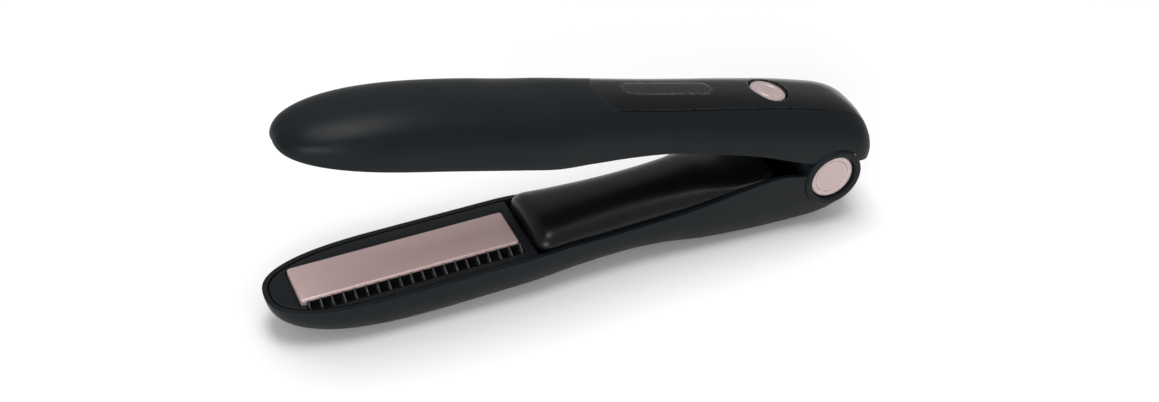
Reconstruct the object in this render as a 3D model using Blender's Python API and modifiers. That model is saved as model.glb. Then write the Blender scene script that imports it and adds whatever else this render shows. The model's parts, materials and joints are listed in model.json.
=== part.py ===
"""Cordless mini flat iron: two clamp arms on one hinge, shown open.

Everything is modelled in the arm frame: the hinge axis runs along Y through the origin, the tips point
to -X and the lower heater plate faces +Z. The upper arm is modelled closed over the lower arm and is then
opened by its pivot empty. A root empty tilts the whole iron so that the two flat lands under the lower
arm stand level, with the world's origin in the middle of the rear land. Units are metres.
"""

import math

import bmesh
import bpy
from mathutils import Vector

# Lengths along an arm, from the tip to the hinge axis.
TIP_MARGIN = 0.0092
PLATE_LENGTH = 0.0709
PLATE_GAP = 0.0042
BATTERY_LENGTH = 0.0650
BAY_SPARE = 0.0187
HINGE_BAY = 0.0205

# Widths and heights of the arms.
ARM_WIDTH = 0.0336
WAIST = 0.0024
LOWER_DEPTH = 0.0150
LOWER_HEEL_DEPTH = 0.0192
BATTERY_FLOOR_ROOM = 0.0020
UPPER_CREST = 0.0245
UPPER_MIDDLE = 0.0070
UPPER_SKIRT = 0.0060
LOWER_CROWN = 0.0040
LOWER_RIM = 0.0010
UPPER_RIM = 0.0044
NOSE_LENGTH = 0.0560
UPPER_NOSE_LENGTH = 0.0672
PLAN_NOSE = 0.0420
PLAN_TAIL = 0.0085
UPPER_TAIL = 0.0260
LOWER_OVERHANG = 0.0004
UPPER_OVERHANG = 0.0032
WALL = 0.0016
UPPER_WALL = 0.0028
LAND_DEPTH = 0.00025
REAR_LAND_SETBACK = 0.01804
FRONT_LAND_OFFSET = 0.0100

# How full the rounded outlines are: 2 is an ellipse, more is squarer.
PLAN_NOSE_POWER = 2.6
PLAN_TAIL_POWER = 2.2
PLAN_END_SHARE = 0.72
LOWER_NOSE_POWER = 2.3
LOWER_TAIL_POWER = 2.7
LOWER_FRONT_POWER = 2.8
LOWER_REAR_POWER = 3.4
UPPER_NOSE_POWER = 2.0
UPPER_TAIL_POWER = 2.9
UPPER_POWER = 2.6
SKIRT_NOSE_POWER = 2.2
HUMP_POWER = 2.1
HUMP_END_POWER = 2.4
HUMP_FRONT_WIDTH = 0.62
HUMP_REAR_WIDTH = 0.80
HUMP_REAR_HEIGHT = 0.35

# Heater plates.
PLATE_WIDTH = 0.0164
PLATE_THICKNESS = 0.0032
PLATE_TOP = 0.0026
CLOSED_GAP = 0.0002
PLATE_FLOAT = 0.0008
PLATE_EDGE = 0.0008
FRAME_THICKNESS = 0.0022
FRAME_GAP = 0.0005
FRAME_SETBACK = 0.0050
RIM_STEP = 0.0001
CARRIER_DEPTH = 0.0040
CARRIER_INSET = 0.0009
CARRIER_FRONT_WALL = 0.00115
CARRIER_REAR_SETBACK = 0.0030
CARRIER_WALL = 0.0014
HEATER_LENGTH = 0.0500
HEATER_WIDTH = 0.0060
HEATER_THICKNESS = 0.0015
FUSE_RADIUS = 0.0010
FUSE_LENGTH = 0.0090
SPRING_RADIUS = 0.0020
SPRING_WIRE = 0.00035
SPRING_TURNS = 4
SPRING_PRESSED = 0.0034
FRONT_SPRING_SETBACK = 0.0149
REAR_SPRING_SETBACK = 0.0191
POST_WALL = 0.0012

# Comb on the lower arm.
COMB_SETBACK = 0.0040
FIN_COUNT = 20
FIN_THICKNESS = 0.0009
FIN_HEIGHT = 0.0020
FIN_REACH = 0.0030
FIN_RIDGE = 0.0004
COMB_BASE = 0.0006
COMB_DEPTH = 0.0014

# Battery and its cover.
BATTERY_RADIUS = 0.0071
BATTERY_AXIS = -0.0026
HUMP_ROOM = 0.0016
HUMP_END = 0.0058
HUMP_NOSE = 0.0060
COVER_WALL = 0.0013
INNER_COVER_THICKNESS = 0.0019
COVER_LIP = 0.0024
COVER_BOSS_DROP = 0.0050
COVER_SCREW_SETBACK = 0.0085
COUNTERBORE = 0.0024
BATTERY_SETBACK = 0.0037
NUB_RADIUS = 0.0028
NUB_HEIGHT = 0.0008
CONTACT_SIZE = 0.0100
CONTACT_THICKNESS = 0.0003

# Hinge.
OPEN_ANGLE = math.radians(16.0)
RING_WALL = 0.00235
RING_PROUD = 0.0002
DISC_CLEARANCE = 0.00031
WELL_FLOOR = 0.0006
RING_EDGE = 0.0006
WELL_EDGE = 0.0003
DISC_RADIUS = 0.00784
DISC_EDGE = 0.00055
DISC_CIRCLE_INSET = 0.00208
DISC_GROOVE = 0.00025
DISC_THICKNESS = 0.0012
DISC_RECESS = 0.0013
LOCK_TRAVEL = 0.0012
PIN_RADIUS = 0.0020
AXLE_WALL = 0.0012
EAR_THICKNESS = 0.0022
BARREL_WALL = 0.0026
COIL_OUTER_ROOM = 0.0013
NECK_END = 0.0040
NECK_INSET = 0.0024
NECK_FOOT = 0.0030
WEB_FRONT = -0.0085
WEB_REAR = 0.0015
WEB_TOP = -0.0060
WEB_ROOM = 0.0031
WEB_INSET = 0.0001
EAR_INSET = 0.0002
WASHER_THICKNESS = 0.0004
BUSH_LENGTH = 0.0026
COIL_INNER_ROOM = 0.0014
COIL_WIRE = 0.0006
COIL_TURNS = 5

# Control panel, button and electronics.
PANEL_MARGIN = 0.0027
PANEL_THICKNESS = 0.0013
PANEL_LOW_EDGE = 0.0120
PANEL_LENGTH = 0.0870
WINDOW_LENGTH = 0.0325
WINDOW_HALF_WIDTH = 0.0034
WINDOW_PLACE = -0.0637
BUTTON_RADIUS = 0.0061
BUTTON_PLACE = -0.0254
BUTTON_RECESS = 0.0009
BUTTON_THICKNESS = 0.0028
BUTTON_EDGE = 0.0004
BUTTON_TRAVEL = 0.0008
BUTTON_CLEARANCE = 0.0008
GUIDE_WALL = 0.0005
GUIDE_CLEARANCE = 0.000169
GUIDE_HEIGHT = 0.0035
STEM_RADIUS = 0.0016
PLUNGER_DEPTH = 0.0012
BOARD_HEIGHT = 0.0136
BOARD_THICKNESS = 0.0012
BOARD_SETBACK = 0.0020
BOARD_LENGTH = 0.0700
BOARD_SIDE_ROOM = 0.0063
SWITCH_SIZE = 0.0060
SWITCH_HEIGHT = 0.0030
SWITCH_FLOOR = 0.0006
LED_COUNT = 3
LED_SPACING = 0.0080
LED_LENGTH = 0.0016
LED_WIDTH = 0.0010
LED_HEIGHT = 0.0007
SOCKET_WIDTH = 0.0089
SOCKET_HEIGHT = 0.0032
SOCKET_LENGTH = 0.0078
SOCKET_LEVEL = 0.0094
SOCKET_SETBACK = 0.0011
SOCKET_SHEET = 0.00035
SOCKET_FLOOR = 0.0010
TONGUE_THICKNESS = 0.0007
TONGUE_SETBACK = 0.0008
TONGUE_MARGIN = 0.0012
CHARGE_BOARD_MARGIN = 0.00105
CHARGE_BOARD_THICKNESS = 0.0008
CHARGE_BOARD_SETBACK = 0.0035

# Screws.
SCREW_RADIUS = 0.0010
BOSS_WALL = 0.0016
SCREW_HEAD_REACH = 0.0008
SCREW_HEAD_HEIGHT = 0.0009
SCREW_LENGTH = 0.0050
ROOF_BITE = 0.0012
PILOT_SPARE = 0.0010

# Clearances.
GAP = 0.0003
RUNNING = 0.00015
HUMP_CLEARANCE = 0.0010
COVER_REAR_CLEARANCE = 0.0055
COVER_FRONT_CLEARANCE = 0.0022
COVER_SIDE_CLEARANCE = 0.0006

ARM_LENGTH = TIP_MARGIN + PLATE_LENGTH + PLATE_GAP + BATTERY_LENGTH + BAY_SPARE + HINGE_BAY
TIP = -ARM_LENGTH
PLATE_FRONT = TIP + TIP_MARGIN
PLATE_REAR = PLATE_FRONT + PLATE_LENGTH
PLATE_MIDDLE = (PLATE_FRONT + PLATE_REAR) / 2
BAY_FRONT = PLATE_REAR + PLATE_GAP
BAY_REAR = -HINGE_BAY
BAY_LENGTH = BAY_REAR - BAY_FRONT
HALF_WIDTH = ARM_WIDTH / 2
LOWER_WAIST_DEPTH = BATTERY_RADIUS - BATTERY_AXIS + WALL + BATTERY_FLOOR_ROOM
HUMP_TOP = BATTERY_AXIS + BATTERY_RADIUS + COVER_WALL + HUMP_ROOM
CARRIER_WIDTH = PLATE_WIDTH - CARRIER_INSET * 2
CARRIER_SETBACK = (PLATE_LENGTH - HEATER_LENGTH) / 2 - GAP - CARRIER_FRONT_WALL
POST_RADIUS = SPRING_RADIUS + POST_WALL
WELL_RADIUS = DISC_RADIUS + DISC_CLEARANCE
DISC_CIRCLE = DISC_RADIUS - DISC_CIRCLE_INSET
RING_RADIUS = WELL_RADIUS + RING_WALL
RING_FACE = HALF_WIDTH + RING_PROUD
AXLE_BORE = PIN_RADIUS + GAP
AXLE_RADIUS = AXLE_BORE + AXLE_WALL
COIL_RADIUS = AXLE_RADIUS + COIL_INNER_ROOM
BARREL_BORE = COIL_RADIUS + COIL_OUTER_ROOM
BARREL_RADIUS = BARREL_BORE + BARREL_WALL
BUTTON_WELL = BUTTON_RADIUS + BUTTON_CLEARANCE
GUIDE_RADIUS = BUTTON_WELL + GUIDE_WALL
PANEL_HALF_WIDTH = BUTTON_WELL + PANEL_MARGIN
BOARD_WIDTH = ARM_WIDTH - BOARD_SIDE_ROOM * 2
CHARGE_BOARD_WIDTH = SOCKET_WIDTH + CHARGE_BOARD_MARGIN * 2
BOSS_RADIUS = SCREW_RADIUS + BOSS_WALL
SCREW_HEAD = SCREW_RADIUS + SCREW_HEAD_REACH
WEB_DEPTH = LOWER_HEEL_DEPTH - WEB_ROOM
LOWER_END = RING_RADIUS + LOWER_OVERHANG
UPPER_END = RING_RADIUS + UPPER_OVERHANG
UPPER_PLATE_FACE = PLATE_TOP + CLOSED_GAP
EAR_OUTER = RING_FACE - DISC_RECESS - DISC_THICKNESS - LOCK_TRAVEL - GAP - WELL_FLOOR - GAP
EAR_INNER = EAR_OUTER - EAR_THICKNESS
BARREL_END = EAR_INNER - WASHER_THICKNESS - RUNNING * 2
NECK_HALF_WIDTH = BARREL_END - NECK_INSET
REAR_LAND = Vector((-REAR_LAND_SETBACK, 0, -LOWER_HEEL_DEPTH + LAND_DEPTH))
FRONT_LAND = Vector((PLATE_MIDDLE + FRONT_LAND_OFFSET, 0, -LOWER_DEPTH + LAND_DEPTH))
REST_TILT = math.atan2(FRONT_LAND.z - REAR_LAND.z, REAR_LAND.x - FRONT_LAND.x)
SPRING_ROOM = SPRING_PRESSED + PLATE_FLOAT
BOARD_TOP = BOARD_HEIGHT + BOARD_THICKNESS + GAP
SWITCH_TOP = BOARD_TOP + SWITCH_HEIGHT
COMB_FLOOR = LOWER_RIM - COMB_DEPTH
COVER_SCREW_HEAD_SEAT = COUNTERBORE - LOWER_HEEL_DEPTH
LEAST = 0.0004
END_TRIM = 0.00025
LOWER_TAIL = 0.0180
POCKET_PROUD = 0.0008
BEYOND = 0.0100
FAR = 0.0600
AROUND = 32
SHELL_AROUND = 28
HOLLOW_AROUND = 20
PARTS_COLLECTION = "flat_iron"
CUTTERS_COLLECTION = "cutters"


# ---------------------------------------------------------------- scene, collections, materials


def clear_scene():
    for obj in list(bpy.data.objects):
        bpy.data.objects.remove(obj, do_unlink=True)


def new_collection(name):
    collection = bpy.data.collections.new(name)
    bpy.context.scene.collection.children.link(collection)
    return collection


def finish(name, colour, roughness, metallic=0.0):
    """A material with one colour and finish."""
    material = bpy.data.materials.new(name)
    material.use_nodes = True
    shader = material.node_tree.nodes["Principled BSDF"]
    shader.inputs["Base Color"].default_value = (*colour, 1.0)
    shader.inputs["Roughness"].default_value = roughness
    shader.inputs["Metallic"].default_value = metallic
    return material


def empty(name, parent=None):
    """An unrendered pivot that other objects hang from."""
    pivot = bpy.data.objects.new(name, None)
    bpy.data.collections[PARTS_COLLECTION].objects.link(pivot)
    pivot.parent = parent
    return pivot


def place(obj, parent, material):
    """Makes an object a piece of the iron, hung from its body's pivot."""
    bpy.data.collections[PARTS_COLLECTION].objects.link(obj)
    obj.parent = parent
    obj.data.materials.append(material)
    obj.data.shade_smooth()
    obj.data.set_sharp_from_angle(angle=math.radians(35))
    return obj


def helper(obj, parent):
    """Makes an object a cutter or a joining solid, which isn't a piece itself."""
    bpy.data.collections[CUTTERS_COLLECTION].objects.link(obj)
    obj.parent = parent
    obj.hide_render = True
    obj.display_type = "WIRE"
    return obj


def combine(target, operation, other):
    """Adds a Boolean to target. MANIFOLD keeps the long chains of cuts in the shells closed."""
    modifier = target.modifiers.new(f"{operation.lower()} {other.name}", "BOOLEAN")
    modifier.operation = operation
    modifier.solver = "MANIFOLD"
    modifier.object = other
    return target


def cut(target, *others):
    for other in others:
        combine(target, "DIFFERENCE", other)
    return target


def join(target, *others):
    for other in others:
        combine(target, "UNION", other)
    return target


# ---------------------------------------------------------------- shape builders


def object_from(name, mesh_builder):
    """An unlinked object named name, with the mesh that the bmesh holds."""
    mesh = bpy.data.meshes.new(name)
    bmesh.ops.recalc_face_normals(mesh_builder, faces=mesh_builder.faces)
    mesh_builder.to_mesh(mesh)
    mesh_builder.free()
    return bpy.data.objects.new(name, mesh)


def box(name, low, high):
    """A box between two corners."""
    shape = bmesh.new()
    bmesh.ops.create_cube(shape, size=1)
    low, high = Vector(low), Vector(high)
    bmesh.ops.scale(shape, vec=high - low, verts=shape.verts)
    bmesh.ops.translate(shape, vec=(low + high) / 2, verts=shape.verts)
    return object_from(name, shape)


def turned(name, profile, steps=AROUND, closed=False, along="Z"):
    """A turned solid: (radius, height) points down its outer side, spun about Z and laid along an axis."""
    mesh = bpy.data.meshes.new(name)
    shape = bmesh.new()
    points = [shape.verts.new((radius, 0, height)) for radius, height in profile]
    ends = points[1:] + points[:1] if closed else points[1:]
    for start, end in zip(points, ends):
        shape.edges.new((start, end))
    shape.to_mesh(mesh)
    shape.free()
    obj = bpy.data.objects.new(name, mesh)
    screw = obj.modifiers.new("turn", "SCREW")
    screw.steps = steps
    screw.render_steps = steps
    screw.use_merge_vertices = True
    screw.merge_threshold = 0.00001
    if along == "Y":
        obj.rotation_euler.x = -math.pi / 2
    if along == "X":
        obj.rotation_euler.y = math.pi / 2
    return obj


def rod(name, radius, low, high, along="Z", steps=AROUND):
    """A plain round bar between two heights of its own axis."""
    return turned(name, [(0, high), (radius, high), (radius, low), (0, low)], steps, along=along)


def tube(name, outer, inner, low, high, along="Z", steps=AROUND):
    """A round bar with a bore."""
    profile = [(outer, high), (outer, low), (inner, low), (inner, high)]
    return turned(name, profile, steps, closed=True, along=along)


def extruded(name, outline, low, high, along="Y"):
    """A flat outline given thickness. It lies in XZ and grows along Y, in XY along Z, or in YZ along X."""
    corner = {
        "Y": lambda a, b: (a, low, b),
        "Z": lambda a, b: (a, b, low),
        "X": lambda a, b: (low, a, b),
    }[along]
    step = {"Y": (0, high - low, 0), "Z": (0, 0, high - low), "X": (high - low, 0, 0)}[along]
    shape = bmesh.new()
    face = shape.faces.new([shape.verts.new(corner(a, b)) for a, b in outline])
    grown = bmesh.ops.extrude_face_region(shape, geom=[face])
    moved = [item for item in grown["geom"] if isinstance(item, bmesh.types.BMVert)]
    bmesh.ops.translate(shape, vec=step, verts=moved)
    return object_from(name, shape)


def capsule_outline(centre, length, half_width, steps=10):
    """A pill seen from above: two half circles joined by straight sides."""
    points = []
    for side in (1, -1):
        end = centre + side * (length / 2 - half_width)
        for step in range(steps + 1):
            angle = side * math.pi / 2 - math.pi * step / steps
            points.append((end + half_width * math.cos(angle), half_width * math.sin(angle)))
    return points


def super_point(angle, power):
    """A point of the unit superellipse of that power."""
    across, up = math.cos(angle), math.sin(angle)
    share = 2 / power
    return (
        math.copysign(abs(across) ** share, across),
        math.copysign(abs(up) ** share, up),
    )


def rounding(share, power):
    """Height of a superellipse nose: 0 at its end (share 1) and 1 where it is full (share 0)."""
    share = min(max(share, 0.0), 1.0)
    return (1 - share**power) ** (1 / power)


def between(start, end, share):
    return start + (end - start) * share


def smooth_through(points, at):
    """A smooth curve through (place, value) points, held level before the first and after the last."""
    if at <= points[0][0]:
        return points[0][1]
    if at >= points[-1][0]:
        return points[-1][1]
    last = len(points) - 1
    slopes = [0.0] * (last + 1)
    for index in range(1, last):
        before, after = points[index - 1], points[index + 1]
        here = points[index][1]
        if (here - before[1]) * (after[1] - here) > 0:
            slopes[index] = (after[1] - before[1]) / (after[0] - before[0])
    index = max(i for i in range(last) if points[i][0] <= at)
    (x0, y0), (x1, y1) = points[index], points[index + 1]
    span = x1 - x0
    t = (at - x0) / span
    return (
        (2 * t**3 - 3 * t**2 + 1) * y0
        + (t**3 - 2 * t**2 + t) * span * slopes[index]
        + (3 * t**2 - 2 * t**3) * y1
        + (t**3 - t**2) * span * slopes[index + 1]
    )


def loft(name, places, section, around=SHELL_AROUND):
    """A closed solid through the sections at places along X.

    section(x) gives half width, middle height, height above it, depth below it and the superellipse power.
    """
    shape = bmesh.new()
    rings = []
    for x in places:
        half_width, middle, up, down, power = section(x)
        ring = []
        for step in range(around):
            across, rise = super_point(2 * math.pi * step / around, power)
            ring.append(shape.verts.new((x, half_width * across, middle + rise * (up if rise > 0 else down))))
        rings.append(ring)
    for ring, following in zip(rings, rings[1:]):
        for step in range(around):
            after = (step + 1) % around
            shape.faces.new((ring[step], ring[after], following[after], following[step]))
    shape.faces.new(rings[0])
    shape.faces.new(reversed(rings[-1]))
    bmesh.ops.triangulate(shape, faces=shape.faces)
    return object_from(name, shape)


def nose_places(start, end, nose, tail, middle_steps=8, nose_steps=7, tail_steps=5):
    """Places along X, close together at both round ends."""
    places = [start + nose * (1 - math.cos(math.pi / 2 * i / nose_steps)) for i in range(nose_steps)]
    straight = (end - tail) - (start + nose)
    places += [start + nose + straight * i / middle_steps for i in range(middle_steps)]
    places += [end - tail + tail * math.sin(math.pi / 2 * i / tail_steps) for i in range(tail_steps + 1)]
    return places


# ---------------------------------------------------------------- arm outlines


def bay(share):
    """A place along the battery bay: 0 at its front wall, 1 at its rear wall."""
    return BAY_FRONT + share * BAY_LENGTH


def arm_half_width(x, end, inset=0.0):
    """Half the arm's width at the widest level, round at the tip and at the hinge end."""
    tip_share = 1 - (x - TIP - inset) / PLAN_NOSE
    tail_share = (x + inset - (end - PLAN_TAIL)) / PLAN_TAIL
    full = smooth_through(
        [
            (PLATE_REAR, HALF_WIDTH),
            (bay(0.16), HALF_WIDTH - WAIST * 0.6),
            (bay(0.45), HALF_WIDTH - WAIST),
            (bay(0.80), HALF_WIDTH - WAIST * 0.6),
            (-RING_RADIUS, HALF_WIDTH - 0.0005),
        ],
        x,
    )
    kept = PLAN_END_SHARE + (1 - PLAN_END_SHARE) * rounding(tail_share, PLAN_TAIL_POWER)
    return (full - inset) * rounding(tip_share, PLAN_NOSE_POWER) * kept


def lower_depth(x):
    """Depth of the lower arm's underside below the hinge axis, before its ends are rounded."""
    return smooth_through(
        [
            (PLATE_MIDDLE, LOWER_DEPTH),
            (bay(0.0), LOWER_DEPTH - 0.0008),
            (bay(0.33), LOWER_WAIST_DEPTH),
            (bay(0.54), LOWER_WAIST_DEPTH + 0.0013),
            (bay(0.72), LOWER_WAIST_DEPTH + 0.0040),
            (bay(0.90), LOWER_HEEL_DEPTH - 0.0005),
            (REAR_LAND.x, LOWER_HEEL_DEPTH),
        ],
        x,
    )


def lower_rim(x):
    """Height of the lower shell's rim, which climbs towards the hinge."""
    return smooth_through(
        [
            (bay(0.0), LOWER_RIM),
            (bay(0.35), LOWER_RIM - 0.0012),
            (bay(0.62), LOWER_RIM - 0.0003),
            (bay(0.86), LOWER_RIM + 0.0028),
            (bay(1.0), LOWER_RIM + 0.0044),
            (-RING_RADIUS, LOWER_RIM + 0.0026),
            (RING_RADIUS * 0.7, LOWER_RIM),
        ],
        x,
    )


def upper_rim(x):
    """Height of the upper shell's edge, arched over the battery hump, in the closed position."""
    return smooth_through(
        [
            (bay(-0.02), UPPER_RIM),
            (bay(0.14), UPPER_RIM + 0.0015),
            (bay(0.31), UPPER_RIM + 0.0032),
            (bay(0.52), UPPER_RIM + 0.0044),
            (bay(0.73), UPPER_RIM + 0.0042),
            (bay(0.90), UPPER_RIM + 0.0034),
            (-RING_RADIUS - 0.001, UPPER_RIM + 0.0012),
            (0.0, UPPER_RIM + 0.0010),
            (RING_RADIUS, UPPER_RIM + 0.0021),
        ],
        x,
    )


def lower_section(x, inset=0.0):
    """Section of the lower arm, shrunk by inset."""
    half_width = arm_half_width(x, LOWER_END, inset)
    tip_share = 1 - (x - TIP - inset) / NOSE_LENGTH
    tail = LOWER_END + PLAN_TAIL
    tail_share = (x + inset - (LOWER_END - tail)) / tail
    rounded = rounding(tip_share, LOWER_NOSE_POWER) * rounding(tail_share, LOWER_TAIL_POWER)
    down = (lower_rim(x) + lower_depth(x) - inset) * rounded
    power = smooth_through([(bay(0.2), LOWER_FRONT_POWER), (bay(1.0), LOWER_REAR_POWER)], x)
    return max(half_width, LEAST), lower_rim(x), LOWER_CROWN, max(down, LEAST), power


def upper_crest(x):
    """Height of the upper arm's top line, before its ends are rounded."""
    return smooth_through(
        [
            (TIP + UPPER_NOSE_LENGTH, UPPER_CREST - 0.0022),
            (bay(0.15), UPPER_CREST - 0.0010),
            (bay(0.50), UPPER_CREST - 0.0004),
            (BUTTON_PLACE - BUTTON_WELL, UPPER_CREST),
            (BUTTON_PLACE + BUTTON_WELL, UPPER_CREST - 0.0001),
            (-0.005, UPPER_CREST - 0.0006),
        ],
        x,
    )


def upper_section(x, inset=0.0):
    """Section of the upper arm in its closed position, shrunk by inset."""
    half_width = arm_half_width(x, UPPER_END, inset)
    tip_share = 1 - (x - TIP - inset) / UPPER_NOSE_LENGTH
    tail_share = (x + inset - (UPPER_END - UPPER_TAIL)) / UPPER_TAIL
    rounded = rounding(tip_share, UPPER_NOSE_POWER) * rounding(tail_share, UPPER_TAIL_POWER)
    middle = smooth_through([(TIP, UPPER_RIM + 0.0010), (TIP + NOSE_LENGTH, UPPER_MIDDLE)], x)
    up = (upper_crest(x) - middle - inset) * rounded
    down = UPPER_SKIRT * rounding(tip_share, SKIRT_NOSE_POWER)
    return max(half_width, LEAST), middle, max(up, LEAST), max(down, LEAST), UPPER_POWER


def lower_places(inset=0.0):
    return nose_places(TIP + inset + END_TRIM, LOWER_END - inset - END_TRIM, NOSE_LENGTH, LOWER_TAIL)


def upper_places(inset=0.0):
    return nose_places(TIP + inset + END_TRIM, UPPER_END - inset - END_TRIM, NOSE_LENGTH, UPPER_TAIL)


def hollow_places(wall, end):
    """Places along X of an arm's inside, which needs fewer than its outside."""
    return nose_places(TIP + wall, end - wall, NOSE_LENGTH, LOWER_TAIL, 6, 5, 4)


def evenly(start, end, steps):
    """Places from start to end, all the same distance apart."""
    return [start + (end - start) * index / steps for index in range(steps + 1)]


def beyond_rim(name, rim, side):
    """A block on one side of a rim line: side 1 lies above it and side -1 below it."""
    start, end = TIP - BEYOND, UPPER_END + BEYOND
    line = [(x, rim(x)) for x in evenly(start, end, 30)]
    return extruded(name, [*line, (end, side * FAR), (start, side * FAR)], -ARM_WIDTH, ARM_WIDTH)


def plan_outline(start, end, inset):
    """The arm's outline seen from above between two places, inset from its widest line."""
    steps = 14
    places = [start + (end - start) * (1 - math.cos(math.pi / 2 * i / steps)) for i in range(steps + 1)]
    side = [(x, arm_half_width(x, UPPER_END, inset)) for x in places]
    return side + [(x, -y) for x, y in reversed(side)]


# ---------------------------------------------------------------- shared pieces


def coil_spring(name, turns, radius, wire, low, high, per_turn, along="Z"):
    """A round wire wound in a helix, with closed ends."""
    curve = bpy.data.curves.new(name, "CURVE")
    curve.dimensions = "3D"
    curve.bevel_depth = wire
    curve.bevel_resolution = 1
    curve.use_fill_caps = True
    count = turns * per_turn + 1
    spline = curve.splines.new("POLY")
    spline.points.add(count - 1)
    for index in range(count):
        angle = 2 * math.pi * index / per_turn
        rise = low + wire + (high - low - 2 * wire) * index / (count - 1)
        across, up = radius * math.cos(angle), radius * math.sin(angle)
        point = (across, up, rise) if along == "Z" else (across, rise, up)
        spline.points[index].co = (*point, 1)
    source = bpy.data.objects.new(name + "_wire", curve)
    bpy.context.scene.collection.objects.link(source)
    graph = bpy.context.evaluated_depsgraph_get()
    mesh = bpy.data.meshes.new_from_object(source.evaluated_get(graph))
    bpy.data.objects.remove(source, do_unlink=True)
    shape = bmesh.new()
    shape.from_mesh(mesh)
    bmesh.ops.remove_doubles(shape, verts=shape.verts, dist=0.00001)
    return object_from(name, shape)


def heater_plate(name, face, direction):
    """A heater plate with rounded corners and softened edges. Its working face looks along direction."""
    back = face - direction * PLATE_THICKNESS
    low, high = sorted((face, back))
    plate = box(name, (PLATE_FRONT, -PLATE_WIDTH / 2, low), (PLATE_REAR, PLATE_WIDTH / 2, high))
    bevel = plate.modifiers.new("soft edges", "BEVEL")
    bevel.width = PLATE_EDGE
    bevel.segments = 2
    bevel.limit_method = "ANGLE"
    return plate


def plate_frame(name, level, direction, end, parent):
    """The insulating frame that closes an arm round its heater plate. Its face lies at level."""
    low, high = sorted((level, level - direction * FRAME_THICKNESS))
    start = TIP + FRAME_SETBACK
    frame = extruded(name, plan_outline(start, end, WALL + 3 * GAP), low, high, "Z")
    slack = FRAME_GAP
    window = box(
        name + "_window",
        (PLATE_FRONT - slack, -PLATE_WIDTH / 2 - slack, low - BEYOND),
        (PLATE_REAR + slack, PLATE_WIDTH / 2 + slack, high + BEYOND),
    )
    return cut(frame, helper(window, parent))


def plate_set(prefix, face, direction, parent, looks):
    """A heater plate with the carrier, heater and thermal fuse that float with it."""
    place(heater_plate(prefix + "_plate", face, direction), parent, looks["rose_plate"])
    back = face - direction * (PLATE_THICKNESS + GAP)
    deep = back - direction * CARRIER_DEPTH
    low, high = sorted((back, deep))
    carrier = box(
        prefix + "_plate_carrier",
        (PLATE_FRONT + CARRIER_SETBACK, -CARRIER_WIDTH / 2, low),
        (PLATE_REAR - CARRIER_REAR_SETBACK, CARRIER_WIDTH / 2, high),
    )
    pocket_depth = max(HEATER_THICKNESS, 2 * FUSE_RADIUS) + 2 * GAP
    pocket_low, pocket_high = sorted((back + direction * GAP, back - direction * pocket_depth))
    inside = CARRIER_WIDTH / 2 - CARRIER_WALL
    pocket = box(
        prefix + "_pocket",
        (PLATE_MIDDLE - HEATER_LENGTH / 2 - GAP, -inside, pocket_low),
        (PLATE_MIDDLE + HEATER_LENGTH / 2 + GAP, inside, pocket_high),
    )
    place(cut(carrier, helper(pocket, parent)), parent, looks["insulator"])
    heater_low, heater_high = sorted((back, back - direction * HEATER_THICKNESS))
    heater_side = inside - GAP
    heater = box(
        prefix + "_heater",
        (PLATE_MIDDLE - HEATER_LENGTH / 2, heater_side - HEATER_WIDTH, heater_low),
        (PLATE_MIDDLE + HEATER_LENGTH / 2, heater_side, heater_high),
    )
    place(heater, parent, looks["ceramic"])
    fuse = rod(prefix + "_thermal_fuse", FUSE_RADIUS, -FUSE_LENGTH / 2, FUSE_LENGTH / 2, "X", 16)
    fuse_side = GAP + FUSE_RADIUS - inside
    fuse.location = (PLATE_MIDDLE, fuse_side, back - direction * (FUSE_RADIUS + GAP))
    place(fuse, parent, looks["steel"])
    return deep


def screw(name, x, head_level):
    """A pan-head screw on the middle line, driven from below."""
    profile = [
        (0, SCREW_HEAD_HEIGHT),
        (SCREW_HEAD - SCREW_HEAD_HEIGHT / 2, SCREW_HEAD_HEIGHT),
        (SCREW_HEAD, SCREW_HEAD_HEIGHT / 2),
        (SCREW_HEAD, 0),
        (SCREW_RADIUS, 0),
        (SCREW_RADIUS, -SCREW_LENGTH),
        (0, -SCREW_LENGTH),
    ]
    obj = turned(name, profile, 20)
    obj.location = (x, 0, head_level)
    obj.rotation_euler.x = math.pi
    return obj


# ---------------------------------------------------------------- lower arm


def ear(side, label, parent):
    """One of the lower arm's two hinge ears, with the web that ties it to the shell's floor."""
    low, high = sorted((side * EAR_INNER, side * EAR_OUTER))
    disc = rod(f"ear_{label}", RING_RADIUS - EAR_INSET, low, high, "Y")
    web = box(
        f"web_{label}",
        (WEB_FRONT, low + WEB_INSET, -WEB_DEPTH),
        (WEB_REAR, high - WEB_INSET, WEB_TOP),
    )
    return helper(disc, parent), helper(web, parent)


def spring_places():
    """Places along X of the two plate springs."""
    return PLATE_MIDDLE - FRONT_SPRING_SETBACK, PLATE_MIDDLE + REAR_SPRING_SETBACK


def lower_post_top():
    """Level where the lower plate springs stand."""
    return PLATE_TOP - PLATE_THICKNESS - GAP - CARRIER_DEPTH - SPRING_ROOM


def upper_post_end():
    """Level where the upper plate springs push from."""
    return UPPER_PLATE_FACE + PLATE_THICKNESS + GAP + CARRIER_DEPTH + SPRING_ROOM


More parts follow.
